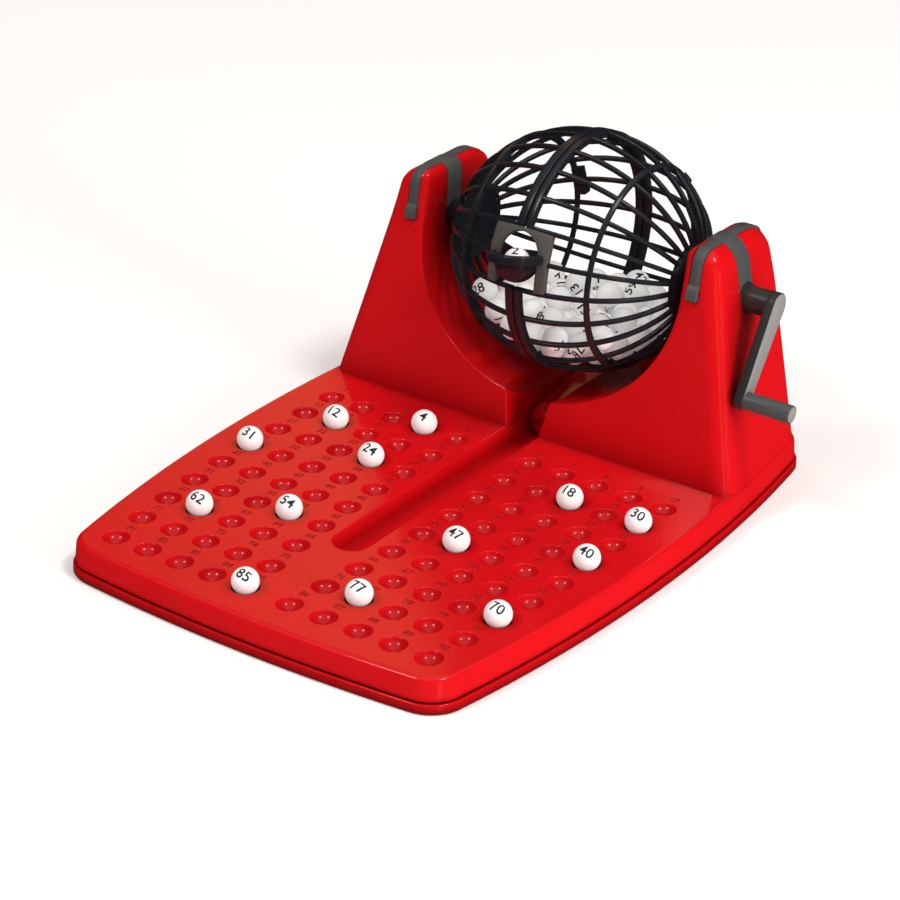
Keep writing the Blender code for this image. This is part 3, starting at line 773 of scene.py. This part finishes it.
def make_stand():
    towers = []
    depth = RECESS_PROUD + RECESS_DEPTH
    for side in (1, -1):
        tower = tower_mesh(side)
        along = long_path(STRAP_FOOT - STRAP_GAP)
        across = cross_path(CROSS_FOOT - 0.0007)
        for bm in (strap_mesh(along, "X", STRAP_X, LONG_HALF + STRAP_GAP, RECESS_PROUD, depth),
                   strap_mesh(across, "Y", AXLE_Y, CROSS_HALF + STRAP_GAP, RECESS_PROUD, depth)):
            cut(tower, mirrored(new_object("recess", bm, STAND_RED_DEEP_SHADE), side))
        cut(tower, axle_bore(BORE_RADIUS, 32, 0.06 * side, 0.12 * side, STAND_RED_DEEP_SHADE))
        towers.append(tower)
    pieces = [*towers, make_chute_floor(), make_lip()]
    for part in pieces:
        cut(part, groove_cutter())
    stand = absorb(*pieces)
    stand.name = "cage_stand_body"
    smooth(stand, 40)
    return finish_piece(stand, "base", "red_moulding", "cage_stand")


def make_clip(name, side, node):
    """One cross-shaped clip: two straps over the tower's top, and a hook at each end of the long one."""
    bm = strap_mesh(cross_path(), "Y", AXLE_Y, CROSS_HALF, STRAP_PROUD, STRAP_DEPTH, CLIP_EDGE)
    cross = new_object("cross", bm, CLIP)
    cut(cross, axle_bore(CLIP_BORE, 48, 0.080, 0.12, CLIP))
    long = strap_mesh(long_path(), "X", STRAP_X, LONG_HALF, STRAP_PROUD - 0.00006, STRAP_DEPTH, CLIP_EDGE)
    parts = [cross, new_object("long", long, CLIP)]
    half = LONG_HALF + 0.0002
    for face, out in ((front_face, -1), (back_face, 1)):
        rings = []
        for z, reach in HOOK_LEVELS:
            y0 = face(z) - out * 0.0008
            y1 = face(z) + out * reach
            y2 = y1 - out * CLIP_EDGE
            rings.append([(STRAP_X - half, y0, z), (STRAP_X + half, y0, z), (STRAP_X + half, y2, z),
                          (STRAP_X + half - CLIP_EDGE, y1, z), (STRAP_X - half + CLIP_EDGE, y1, z),
                          (STRAP_X - half, y2, z)])
        bm, _ = loft(rings)
        parts.append(new_object("hook", bm, CLIP))
    clip = absorb(parts[0], *parts[1:])
    clip.name = name
    mirrored(clip, side)
    smooth(clip, 32)
    return finish_piece(clip, node, "clip", f"{node.split('_')[0]}_axle_clip")


# ---- Cage ----

CAGE_SHIFT = 0.0026
CAGE_WALL = 0.0032
RIB_HALF = 0.00112
RIB_DEPTH = 0.0024
RING_HALF = 0.00135
RING_DEPTH = 0.0032
RING_PROUD = 0.0003
FLANGE_PROUD = 0.0004
SEAM_RIGHT = (0.0003, 0.0034)
SEAM_LEFT = (0.0003, 0.0046)
DISH_RADIUS = 0.0175
HUB_RADIUS = 0.007
HUB_END = HALF_END - 0.0248
WINDOW_HALF = 0.0156
WINDOW_RIB_END = 0.0150
RIB_PITCH = 2 * pi / RIBS


def cage_point(x, angle, radius=CAGE_RADIUS):
    """A point on the cage's oval surface; angle 0 faces the front and 90 degrees faces up."""
    rho = radius * sqrt(max(0.0, 1 - (x / CAGE_HALF_LENGTH) ** 2))
    return Vector((x + CAGE_SHIFT, AXLE_Y - rho * cos(angle), AXLE_Z + rho * sin(angle)))


def bar_profile(half, depth, proud, corner, steps=4):
    """A bar's section as (aside, outwards), with rounded corners."""
    points = []
    inner = -depth
    for cx, cz, start in ((half - corner, proud - corner, 0.0), (-half + corner, proud - corner, 0.5),
                          (-half + corner, inner + corner, 1.0), (half - corner, inner + corner, 1.5)):
        for step in range(steps + 1):
            turn = pi * (start + 0.5 * step / steps)
            points.append((cx + corner * cos(turn), cz + corner * sin(turn)))
    return points


def swept_bar(bm, stations, profile, ends="capped"):
    """A bar along stations of (point, aside direction, outward direction)."""
    rings = [[point + aside * a + outward * b for a, b in profile] for point, aside, outward in stations]
    loft(rings, bm, ends)


def rib_stations(side, angle, start, end, steps=26):
    """Stations along one rib, spaced evenly by the turn about the oval's middle."""
    first = math.asin(start / CAGE_HALF_LENGTH)
    last = math.asin(end / CAGE_HALF_LENGTH)
    aside = Vector((0.0, sin(angle), cos(angle)))
    stations = []
    for step in range(steps + 1):
        turn = first + (last - first) * step / steps
        x = CAGE_HALF_LENGTH * sin(turn)
        point = cage_point(side * x, angle)
        flat = CAGE_RADIUS * sin(turn)
        steep = CAGE_HALF_LENGTH * cos(turn)
        length = math.hypot(flat, steep)
        radial = Vector((0.0, -cos(angle), sin(angle)))
        outward = radial * (steep / length) + Vector((side * flat / length, 0.0, 0.0))
        stations.append((point, aside, outward))
    return stations


def ring_stations(x, start=0.0, end=2 * pi, steps=144):
    """Stations around the axle at one distance from the middle, square to the oval's surface."""
    turn = math.asin(x / CAGE_HALF_LENGTH)
    flat = CAGE_RADIUS * sin(turn)
    steep = CAGE_HALF_LENGTH * cos(turn)
    length = math.hypot(flat, steep)
    whole = abs(end - start - 2 * pi) < 1e-6
    stations = []
    for step in range(steps if whole else steps + 1):
        angle = start + (end - start) * step / steps
        radial = Vector((0.0, -cos(angle), sin(angle)))
        outward = radial * (steep / length) + Vector((flat / length, 0.0, 0.0))
        aside = Vector((steep / length, 0.0, 0.0)) - radial * (flat / length)
        stations.append((cage_point(x, angle), aside, outward))
    return stations


def make_cage_half(side):
    """Ribs, rings, the solid dish at the pole and the hub, as one moulded piece."""
    dish_x = CAGE_HALF_LENGTH * sqrt(1 - (DISH_RADIUS / CAGE_RADIUS) ** 2)
    bm = bmesh.new()
    rib_profile = bar_profile(RIB_HALF, RIB_DEPTH, 0.0, 0.0008)
    for rib in range(RIBS):
        start = WINDOW_RIB_END if rib == 1 else SEAM_RIGHT[0] + 0.0006
        swept_bar(bm, rib_stations(side, rib * RIB_PITCH, start, dish_x + 0.0008), rib_profile)
    ring_profile = bar_profile(RING_HALF, RING_DEPTH, RING_PROUD, 0.0006)
    swept_bar(bm, ring_stations(side * RING_X), ring_profile, ends="joined")
    near, far = SEAM_RIGHT if side > 0 else SEAM_LEFT
    flange = bar_profile((far - near) / 2, RING_DEPTH, FLANGE_PROUD, 0.00045)
    whole = ring_stations(side * (near + far) / 2, 2 * RIB_PITCH, 2 * pi, 132)
    swept_bar(bm, whole, flange)
    word = "right" if side > 0 else "left"
    half = new_object(f"{word}_cage_shell", bm, BLACK)
    shell = []
    for radius in (DISH_RADIUS + 0.0006, 0.0165, 0.0150, 0.0130, 0.0110, 0.0085, 0.0050):
        x = CAGE_HALF_LENGTH * sqrt(1 - (radius / CAGE_RADIUS) ** 2)
        shell.append((radius, x + (0.0006 if radius < DISH_RADIUS else 0.0001)))
    inner = [(radius, x - 0.0026) for radius, x in reversed(shell)]
    dish = turned_ring(shell, inner, side)
    end = HUB_END - CAGE_SHIFT * side
    hub = turned_x([(HUB_RADIUS, dish_x - 0.0005), (HUB_RADIUS, end - 0.0006), (HUB_RADIUS - 0.0006, end),
                    (0.0040, end), (0.0040, HALF_END - 0.0008), (0.0034, HALF_END)], side)
    absorb(half, dish, hub)
    smooth(half, 45)
    return finish_piece(half, "cage", "cage", f"{word}_cage_half")


def turned_ring(outer, inner, side, sides=96):
    """A closed ring about the axle from an outer and an inner profile of (radius, x)."""
    rings = [[(side * x + CAGE_SHIFT, AXLE_Y + r * cos(a), AXLE_Z + r * sin(a))
              for r, x in outer + inner] for a in full_turn(sides)]
    bm, _ = loft(rings, ends="joined")
    return new_object("dish", bm, BLACK)


def make_window_frame(steps=28):
    """An arch-shaped panel that follows the cage's surface between two ribs."""
    low = 0.0006 / CAGE_RADIUS
    high = 2 * RIB_PITCH - 0.0006 / CAGE_RADIUS
    half = WINDOW_HALF - 0.0003
    leg = 0.0048
    base = 0.55 * high
    outer = [(-half, low + share * (base - low)) for share in (0.0, 0.35, 0.7)]
    inner = [(x + leg, angle) for x, angle in outer]
    for step in range(steps + 1):
        turn = pi * (1 - step / steps)
        c = cos(turn)
        s = sin(turn)
        square = max(abs(c), abs(s)) ** 0.92
        outer.append((half * max(-1.0, min(1.0, c / square)), base + (high - base) * min(1.0, s / square)))
        inner.append(((half - leg) * c, base + (high - base) * 0.86 * s))
    outer += [(-x, angle) for x, angle in reversed(outer[:3])]
    inner += [(-x, angle) for x, angle in reversed(inner[:3])]
    bm = bmesh.new()
    rows = []
    for across in range(4):
        for radius in (CAGE_RADIUS + 0.0004, CAGE_RADIUS - 0.0030):
            rows.append([cage_point(*mix(a, b, across / 3), radius) for a, b in zip(outer, inner)])
    order = [rows[0], rows[2], rows[4], rows[6], rows[7], rows[5], rows[3], rows[1]]
    loft(list(zip(*order)), bm)
    panel = new_object("window_panel", bm, FRAME)
    smooth(bevelled(panel, 0.0003, 2, angle=50), 40)
    return finish_piece(panel, "cage", "window_frame", "window_frame")


CUP_Y = 0.0507
CUP_Z = 0.1104
CUP_RADIUS = 0.0105
CUP_WALL = 0.0014
CUP_RIM = 0.0137
CUP_TOP = 0.0033
CUP_BAND = 0.0043
CUP_LEAN = Vector((-0.13, 0.235, 0.96))
CUP_BALL_RISE = 0.0010


def make_ball_cup():
    """A round bowl with a tall rim band; its mouth leans back from the window."""
    profile = []
    for turn in np.radians(np.linspace(3, 86, 14)):
        profile.append((CUP_RADIUS * sin(turn), -CUP_RADIUS * cos(turn)))
    foot = CUP_TOP - CUP_BAND
    profile += [(CUP_RADIUS, foot - 0.0002), (CUP_RADIUS + 0.0004, foot), (CUP_RIM - 0.0006, foot),
                (CUP_RIM - 0.0002, foot + 0.0002), (CUP_RIM, foot + 0.0006),
                (CUP_RIM + 0.0002, foot + 0.0021),
                (CUP_RIM, CUP_TOP - 0.0010), (CUP_RIM - 0.0003, CUP_TOP - 0.0003),
                (CUP_RIM - 0.0009, CUP_TOP), (CUP_RIM - 0.0018, CUP_TOP),
                (CUP_RIM - 0.0023, CUP_TOP - 0.0002), (CUP_RIM - 0.0026, CUP_TOP - 0.0008)]
    inner = CUP_RADIUS - CUP_WALL
    for turn in np.radians(np.linspace(88, 3, 12)):
        profile.append((inner * sin(turn), 0.0002 - inner * cos(turn)))
    bm, _ = loft([[(x, y, z) for x, y in circle((0.0, 0.0), r, 72)] for r, z in profile])
    cup = new_object("ball_cup_bowl", bm, BLACK)
    lean = CUP_LEAN.to_track_quat("Z", "Y").to_matrix().to_4x4()
    cup.data.transform(Matrix.Translation((CAGE_SHIFT, CUP_Y, CUP_Z)) @ lean)
    smooth(cup, 50)
    return finish_piece(cup, "cage", "cage", "ball_cup")


# Each block: x from and to, degrees from and to, and how far its faces stand inside (-) or outside the cage.
LATCH_BLOCKS = (
    (-0.0036, 0.0036, 116, 124, -0.0050, 0.0006),
    (-RING_X, -RING_X + 0.0052, 155, 170, -0.0040, -0.0012),
    (-RING_X + 0.0020, -RING_X + 0.0062, 168, 173, -0.0062, -0.0012),
    (RING_X - 0.0020, RING_X + 0.0020, 136, 139.5, -0.0010, 0.0018),
)


def curved_block(x_low, x_high, start, end, inner, outer, steps=8):
    """A block that follows the cage between two angles, as one closed mesh."""
    rings = []
    for angle in np.linspace(radians(start), radians(end), steps + 1):
        corners = ((x_low, inner), (x_high, inner), (x_high, outer), (x_low, outer))
        rings.append([cage_point(x, angle, CAGE_RADIUS + proud) for x, proud in corners])
    bm, _ = loft(rings)
    return new_object("block", bm, BLACK)


def make_latch():
    """The catch on the middle ring, and the small hook and stop that the side rings carry."""
    latch = absorb(*[curved_block(*sizes) for sizes in LATCH_BLOCKS])
    latch.name = "ring_latch_block"
    smooth(bevelled(latch, 0.0004, 3), 40)
    return finish_piece(latch, "cage", "cage", "ring_latch")


CRANK_LOW, CRANK_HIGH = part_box("crank")
ARM_INNER_X = 0.1045
ARM_OUTER_X = 0.1090
ARM_HEAD = 0.0065
ARM_TIP = 0.0045
ARM_LENGTH = 0.045
ARM_ANGLE = radians(33)
CRANK_HUB_X = 0.0850
HANDLE_RADIUS = 0.0043


def make_crank():
    tip = (AXLE_Y - ARM_LENGTH * sin(ARM_ANGLE), AXLE_Z - ARM_LENGTH * cos(ARM_ANGLE))
    down = math.atan2(tip[1] - AXLE_Z, tip[0] - AXLE_Y)

    def plan(shrink):
        points = arc((AXLE_Y, AXLE_Z), ARM_HEAD - shrink, down + pi / 2, down + 3 * pi / 2, 24)
        return points + arc(tip, ARM_TIP - shrink, down - pi / 2, down + pi / 2, 18)

    def slab(rows, finish):
        bm, _ = loft([[(x, y, z) for y, z in plan(shrink)] for x, shrink in rows])
        return new_object("slab", bm, finish)

    arm = slab(((ARM_INNER_X, 0.0006), (ARM_INNER_X + 0.0002, 0.0002), (ARM_INNER_X + 0.0006, 0.0),
                (ARM_OUTER_X - 0.0005, 0.0), (ARM_OUTER_X - 0.00015, 0.00015), (ARM_OUTER_X, 0.0005)), CRANK)
    hub = turned_x([(0.0040, CRANK_HUB_X), (0.0070, CRANK_HUB_X), (0.0070, CRANK_LOW.x - 0.0020),
                    (0.0063, CRANK_LOW.x - 0.0018), (0.0063, ARM_INNER_X + 0.001)], finish=CRANK)
    end = CRANK_HIGH.x
    handle = turned_x([(HANDLE_RADIUS, ARM_INNER_X + 0.0006), (HANDLE_RADIUS, end - 0.0004),
                       (HANDLE_RADIUS - 0.0002, end - 0.0001), (HANDLE_RADIUS - 0.0005, end)],
                      centre=tip, finish=HANDLE)
    crank = absorb(arm, hub)
    crank.name = "crank_body"
    smooth(crank, 35)
    finish_piece(crank, "cage", "crank", "crank")
    handle.name = "crank_handle"
    finish_piece(smooth(handle, 35), "cage", "crank")
    face = slab(((ARM_OUTER_X - 0.0003, 0.00055), (ARM_OUTER_X + 0.00005, 0.00055),
                 (ARM_OUTER_X + 0.00015, 0.0008)), CRANK_FACE)
    face.name = "crank_face"
    disc = turned_x([(0.0036, end - 0.0004), (0.0036, end + 0.00005), (0.0033, end + 0.00015)],
                    centre=tip, finish=CRANK_FACE)
    absorb(face, disc)
    smooth(face, 35)
    return crank, finish_piece(face, "cage", "crank")


# ---- Balls ----

BALL_RADIUS = (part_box("cup_ball")[1].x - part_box("cup_ball")[0].x) / 2
BALL_NUMERAL = 0.0048
DECAL_REACH = 0.0042
DECAL_STEP = 0.0007
DECAL_PROUD = 0.00003
DECAL_DEPTH = 0.0002


def ball_mesh(centre, segments=40, rings=20):
    bm = bmesh.new()
    bmesh.ops.create_uvsphere(bm, u_segments=segments, v_segments=rings, radius=BALL_RADIUS,
                              matrix=Matrix.Translation(centre))
    mesh = mesh_of(bm, "ball")
    mesh.shade_smooth()
    return mesh


def decal_mesh(number, centre, towards, along):
    """A number laid on a ball, facing one way, with its line of text along another."""
    bm = flat_text(str(number), BALL_NUMERAL, 0.014)
    for axis in ((1.0, 0.0, 0.0), (0.0, 1.0, 0.0)):
        for place in np.arange(-DECAL_REACH, DECAL_REACH + 1e-6, DECAL_STEP):
            bmesh.ops.bisect_plane(bm, geom=bm.verts[:] + bm.edges[:] + bm.faces[:],
                                   plane_co=Vector(axis) * place, plane_no=axis, dist=1e-6)
    out = Vector(towards).normalized()
    right = (Vector(along) - out * Vector(along).dot(out)).normalized()
    up = out.cross(right)
    outer = BALL_RADIUS + DECAL_PROUD
    lower = set(thicken(bm))
    for vert in bm.verts:
        x, y = vert.co.x, vert.co.y
        spread = math.hypot(x, y) or 1e-9
        turn = spread / BALL_RADIUS
        way = out * cos(turn) + (right * (x / spread) + up * (y / spread)) * sin(turn)
        vert.co = Vector(centre) + way * (outer - (DECAL_DEPTH if vert in lower else 0.0))
    bmesh.ops.recalc_face_normals(bm, faces=bm.faces)
    return mesh_of(bm, "decal")


def joined_balls(parts, name):
    """One object from the meshes of balls and their numbers, left out of reflections on the deck."""
    balls = smooth(join(parts, name, WHITE, INK), 30)
    balls.visible_glossy = False
    return balls


def numbered_ball(name, number, centre, towards, along):
    return joined_balls([(ball_mesh(centre), 0), (decal_mesh(number, centre, towards, along), 1)], name)


# The numbers on the balls that lie in pits, in the order of the CAD's nodes.
BALL_NUMBERS = (4, 12, 18, 30, 24, 31, 40, 47, 54, 62, 70, 77, 85)
CUP_NUMBER = 2
VIEW_AZIMUTH = radians(34.556)
VIEW_ELEVATION = radians(27.194)
VIEW_ROLL = radians(1.326)


def view_axes():
    """The camera's right, up and backward directions."""
    ca, sa = cos(VIEW_AZIMUTH), sin(VIEW_AZIMUTH)
    ce, se = cos(VIEW_ELEVATION), sin(VIEW_ELEVATION)
    back = Vector((sa * ce, -ca * ce, se))
    right = Vector((ca, sa, 0.0))
    up = back.cross(right)
    cr, sr = cos(VIEW_ROLL), sin(VIEW_ROLL)
    return right * cr + up * sr, up * cr - right * sr, back


RIGHT, UP, BACK = view_axes()
TEXT_FACING = UP * 0.50 + BACK * 0.86 - RIGHT * 0.06
TEXT_ALONG = RIGHT * 0.76 - UP * 0.60


def node_centre(node):
    low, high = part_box(node)
    return (low + high) / 2


def make_tray_balls():
    for index, number in enumerate(BALL_NUMBERS, 1):
        node = f"tray_ball_{index:02d}"
        ball = numbered_ball(f"ball_{number:02d}", number, node_centre(node), TEXT_FACING, TEXT_ALONG)
        finish_piece(ball, node, "ball", node)
    facing = UP * 0.75 + BACK * 0.62 - RIGHT * 0.10
    centre = node_centre("cup_ball") + Vector((CAGE_SHIFT, 0.0, CUP_BALL_RISE))
    ball = numbered_ball("cup_ball_02", CUP_NUMBER, centre, facing, RIGHT * 0.9 - UP * 0.4)
    finish_piece(ball, "cup_ball", "ball", "cup_ball")


HEAP_SEED = 7
HEAP_COUNT = 76


def settle_heap(count=HEAP_COUNT, steps=1500):
    """Centres of balls dropped to the bottom of the cage: pushed apart, kept inside, pulled down."""
    rng = np.random.default_rng(HEAP_SEED)
    half = CAGE_HALF_LENGTH - CAGE_WALL - BALL_RADIUS - 0.0006
    radius = CAGE_RADIUS - CAGE_WALL - BALL_RADIUS - 0.0002
    size = np.array([half, radius, radius])
    points = rng.uniform(-1, 1, (count, 3)) * size * np.array([0.7, 0.7, 0.5])
    points[:, 2] -= 0.010
    spacing = 2 * BALL_RADIUS + 0.00005
    speed = np.zeros_like(points)
    for step in range(steps):
        pull = 0.0003 if step < steps * 0.7 else 0.00003
        speed = speed * 0.8
        speed[:, 2] -= pull
        points = points + speed
        for _ in range(6):
            gap = points[:, None] - points[None]
            far = np.linalg.norm(gap, axis=2) + np.eye(count)
            push = np.clip(spacing - far, 0, None) * (1 - np.eye(count))
            move = (gap / far[..., None] * push[..., None]).sum(1) * 0.5 * 0.7
            points = points + move
            inside = np.linalg.norm(points / size, axis=1)
            outside = inside > 1
            points[outside] /= inside[outside, None]
        speed = np.clip(speed, -0.0012, 0.0012)
    return points + np.array([CAGE_SHIFT, AXLE_Y, AXLE_Z])


def make_heap():
    centres = settle_heap()
    shown = {*BALL_NUMBERS, CUP_NUMBER}
    numbers = [n for n in range(1, 91) if n not in shown]
    rng = np.random.default_rng(HEAP_SEED + 1)
    rng.shuffle(numbers)
    parts = []
    for number, centre in zip(numbers, centres):
        parts.append((ball_mesh(centre, 28, 14), 0))
        towards = Vector(rng.normal(0, 1, 3)) + BACK * 0.9
        along = Vector(rng.normal(0, 1, 3))
        parts.append((decal_mesh(number, centre, towards, along), 1))
    return finish_piece(joined_balls(parts, "heap_balls"), "base", "ball", "ball_heap")


make_base_plate()
make_base_tray()
make_pit_numerals()
make_stand()
make_clip("right_clip_strap", 1, "right_clip")
make_clip("left_clip_strap", -1, "left_clip")
make_cage_half(1)
make_cage_half(-1)
make_window_frame()
make_ball_cup()
make_latch()
make_crank()
make_tray_balls()
make_heap()


# ---- Floor, light and camera ----

def make_floor():
    bm = bmesh.new()
    bmesh.ops.create_grid(bm, x_segments=1, y_segments=1, size=6.0)
    floor = new_object("floor", bm)
    finish = bpy.data.materials.new("floor_white")
    finish.use_nodes = True
    set_inputs(finish.node_tree.nodes["Principled BSDF"], {
        "Base Color": (0.93, 0.93, 0.93, 1.0), "Roughness": 0.9, "Specular IOR Level": 0.0,
        "Emission Color": PURE_WHITE, "Emission Strength": 0.12})
    floor.data.materials.append(finish)
    floor.visible_glossy = False


TARGET = Vector((-0.01632, 0.02821, 0.01636))
DISTANCE = 1.4004
LENS = 120.11


def area_light(name, direction, distance, size, power, colour, size_y=None):
    """A disc, or a rectangle if it has a second size, that faces the object from one direction."""
    data = bpy.data.lights.new(name, "AREA")
    data.shape = "RECTANGLE" if size_y else "DISK"
    data.size = size
    if size_y:
        data.size_y = size_y
    data.energy = power
    data.color = colour
    light = linked(name, data)
    away = Vector(direction).normalized()
    centre = Vector((0.0, 0.03, 0.03))
    light.location = centre + away * distance
    light.rotation_mode = "QUATERNION"
    light.rotation_quaternion = away.to_track_quat("Z", "Y")
    light.visible_camera = False
    return light


def dim_panel(name, centre, across, away, width, length, radiance):
    """An area light as a reflection card: it faces back along `away`, its width running along `across`."""
    data = bpy.data.lights.new(name, "AREA")
    data.shape = "RECTANGLE"
    data.size = width
    data.size_y = length
    data.energy = radiance * pi * width * length
    data.color = WARM
    panel = linked(name, data)
    turn = Matrix((across, away.cross(across), away)).transposed()
    panel.matrix_world = Matrix.Translation(centre) @ turn.to_4x4()
    panel.visible_camera = False


PANEL_EDGE_START = (-0.1079, 0.0662)
PANEL_EDGE_END = (0.0997, -0.1400)
PANEL_DISTANCE = 1.6
PANEL_WIDTH = 0.42
PANEL_LENGTH = 2.4
PANEL_LAYERS = 8
PANEL_RADIANCE = 0.75
EDGE_CARD_TURN = radians(-38)
EDGE_CARD_RADIANCE = 0.8
WARM = (1.0, 0.50, 0.24)


def make_panels():
    """Warm cards: layered ones behind, whose straight edge the deck mirrors, and one at the side."""
    camera = TARGET + BACK * DISTANCE
    mirrored_camera = Vector((camera.x, camera.y, 2 * DECK_TOP - camera.z))
    first = Vector((*PANEL_EDGE_START, DECK_TOP))
    last = Vector((*PANEL_EDGE_END, DECK_TOP))
    middle = (first + last) / 2
    away = (middle - mirrored_camera).normalized()
    across = (last - first).cross(away).normalized()
    if across.x > 0:
        across = -across
    for layer in range(PANEL_LAYERS):
        width = PANEL_WIDTH * (layer + 1) / PANEL_LAYERS
        centre = middle + away * (PANEL_DISTANCE + 0.002 * layer) + across * width / 2
        radiance = PANEL_RADIANCE / PANEL_LAYERS
        dim_panel(f"back_card_{layer}", centre, across, away, width, PANEL_LENGTH, radiance)
    side = Vector((cos(EDGE_CARD_TURN), sin(EDGE_CARD_TURN), 0.0))
    middle = Vector((0.10, 0.08, 0.06)) + side * 1.2
    dim_panel("edge_card", middle, Vector((0, 0, 1)).cross(side), side, 0.26, 1.6, EDGE_CARD_RADIANCE)


KEYS = (
    ("left", (-0.298, -0.50, 0.804), 10.0),
    ("right", (0.45, -0.011, 0.882), 20.0),
)
GLINT_POWER = 7.0
SIDE_POWER = 32.0
SKY_STRENGTH = 0.42
MIRROR_HEIGHT = (0.62, 0.95)
MIRROR_STRENGTH = (0.015, 0.45)


def make_lights():
    """Two keys with dimmer glints for their reflections, a side fill, and a sky that gloss sees darker."""
    for name, direction, power in KEYS:
        key = area_light(f"key_{name}", direction, 2.6, 0.60, power, (1.0, 0.97, 0.93))
        key.visible_glossy = False
        area_light(f"glint_{name}", direction, 2.55, 0.55, GLINT_POWER, (1.0, 0.92, 0.86))
    fill = area_light("side_fill", (1.0, -0.12, 0.20), 2.4, 1.0, SIDE_POWER, (1.0, 0.99, 0.97), size_y=1.0)
    fill.visible_glossy = False
    world = bpy.data.worlds.new("studio")
    world.use_nodes = True
    nodes = world.node_tree.nodes
    links = world.node_tree.links
    sky = nodes["Background"]
    set_inputs(sky, {"Color": PURE_WHITE, "Strength": SKY_STRENGTH})
    mirror = add_node(nodes, "ShaderNodeBackground", {"Color": (0.96, 0.98, 1.0, 1.0)})
    place = nodes.new("ShaderNodeTexCoord")
    split = nodes.new("ShaderNodeSeparateXYZ")
    height = nodes.new("ShaderNodeMapRange")
    height.interpolation_type = "SMOOTHSTEP"
    set_inputs(height, {"From Min": MIRROR_HEIGHT[0], "From Max": MIRROR_HEIGHT[1],
                        "To Min": MIRROR_STRENGTH[0], "To Max": MIRROR_STRENGTH[1]})
    links.new(place.outputs["Generated"], split.inputs[0])
    links.new(split.outputs["Z"], height.inputs["Value"])
    links.new(height.outputs["Result"], mirror.inputs["Strength"])
    seen = add_node(nodes, "ShaderNodeBackground", {"Color": PURE_WHITE, "Strength": 1.0})
    path = nodes.new("ShaderNodeLightPath")
    first = nodes.new("ShaderNodeMixShader")
    second = nodes.new("ShaderNodeMixShader")
    links.new(path.outputs["Is Glossy Ray"], first.inputs[0])
    links.new(sky.outputs[0], first.inputs[1])
    links.new(mirror.outputs[0], first.inputs[2])
    links.new(path.outputs["Is Camera Ray"], second.inputs[0])
    links.new(first.outputs[0], second.inputs[1])
    links.new(seen.outputs[0], second.inputs[2])
    links.new(second.outputs[0], nodes["World Output"].inputs["Surface"])
    bpy.context.scene.world = world


def make_camera():
    data = bpy.data.cameras.new("camera")
    data.sensor_width = 36.0
    data.lens = LENS
    camera = linked("camera", data)
    turn = Matrix((RIGHT, UP, BACK)).transposed()
    camera.matrix_world = Matrix.Translation(TARGET + BACK * DISTANCE) @ turn.to_4x4()
    bpy.context.scene.camera = camera


make_floor()
make_lights()
make_panels()
make_camera()
bpy.context.scene.view_settings.view_transform = "Standard"
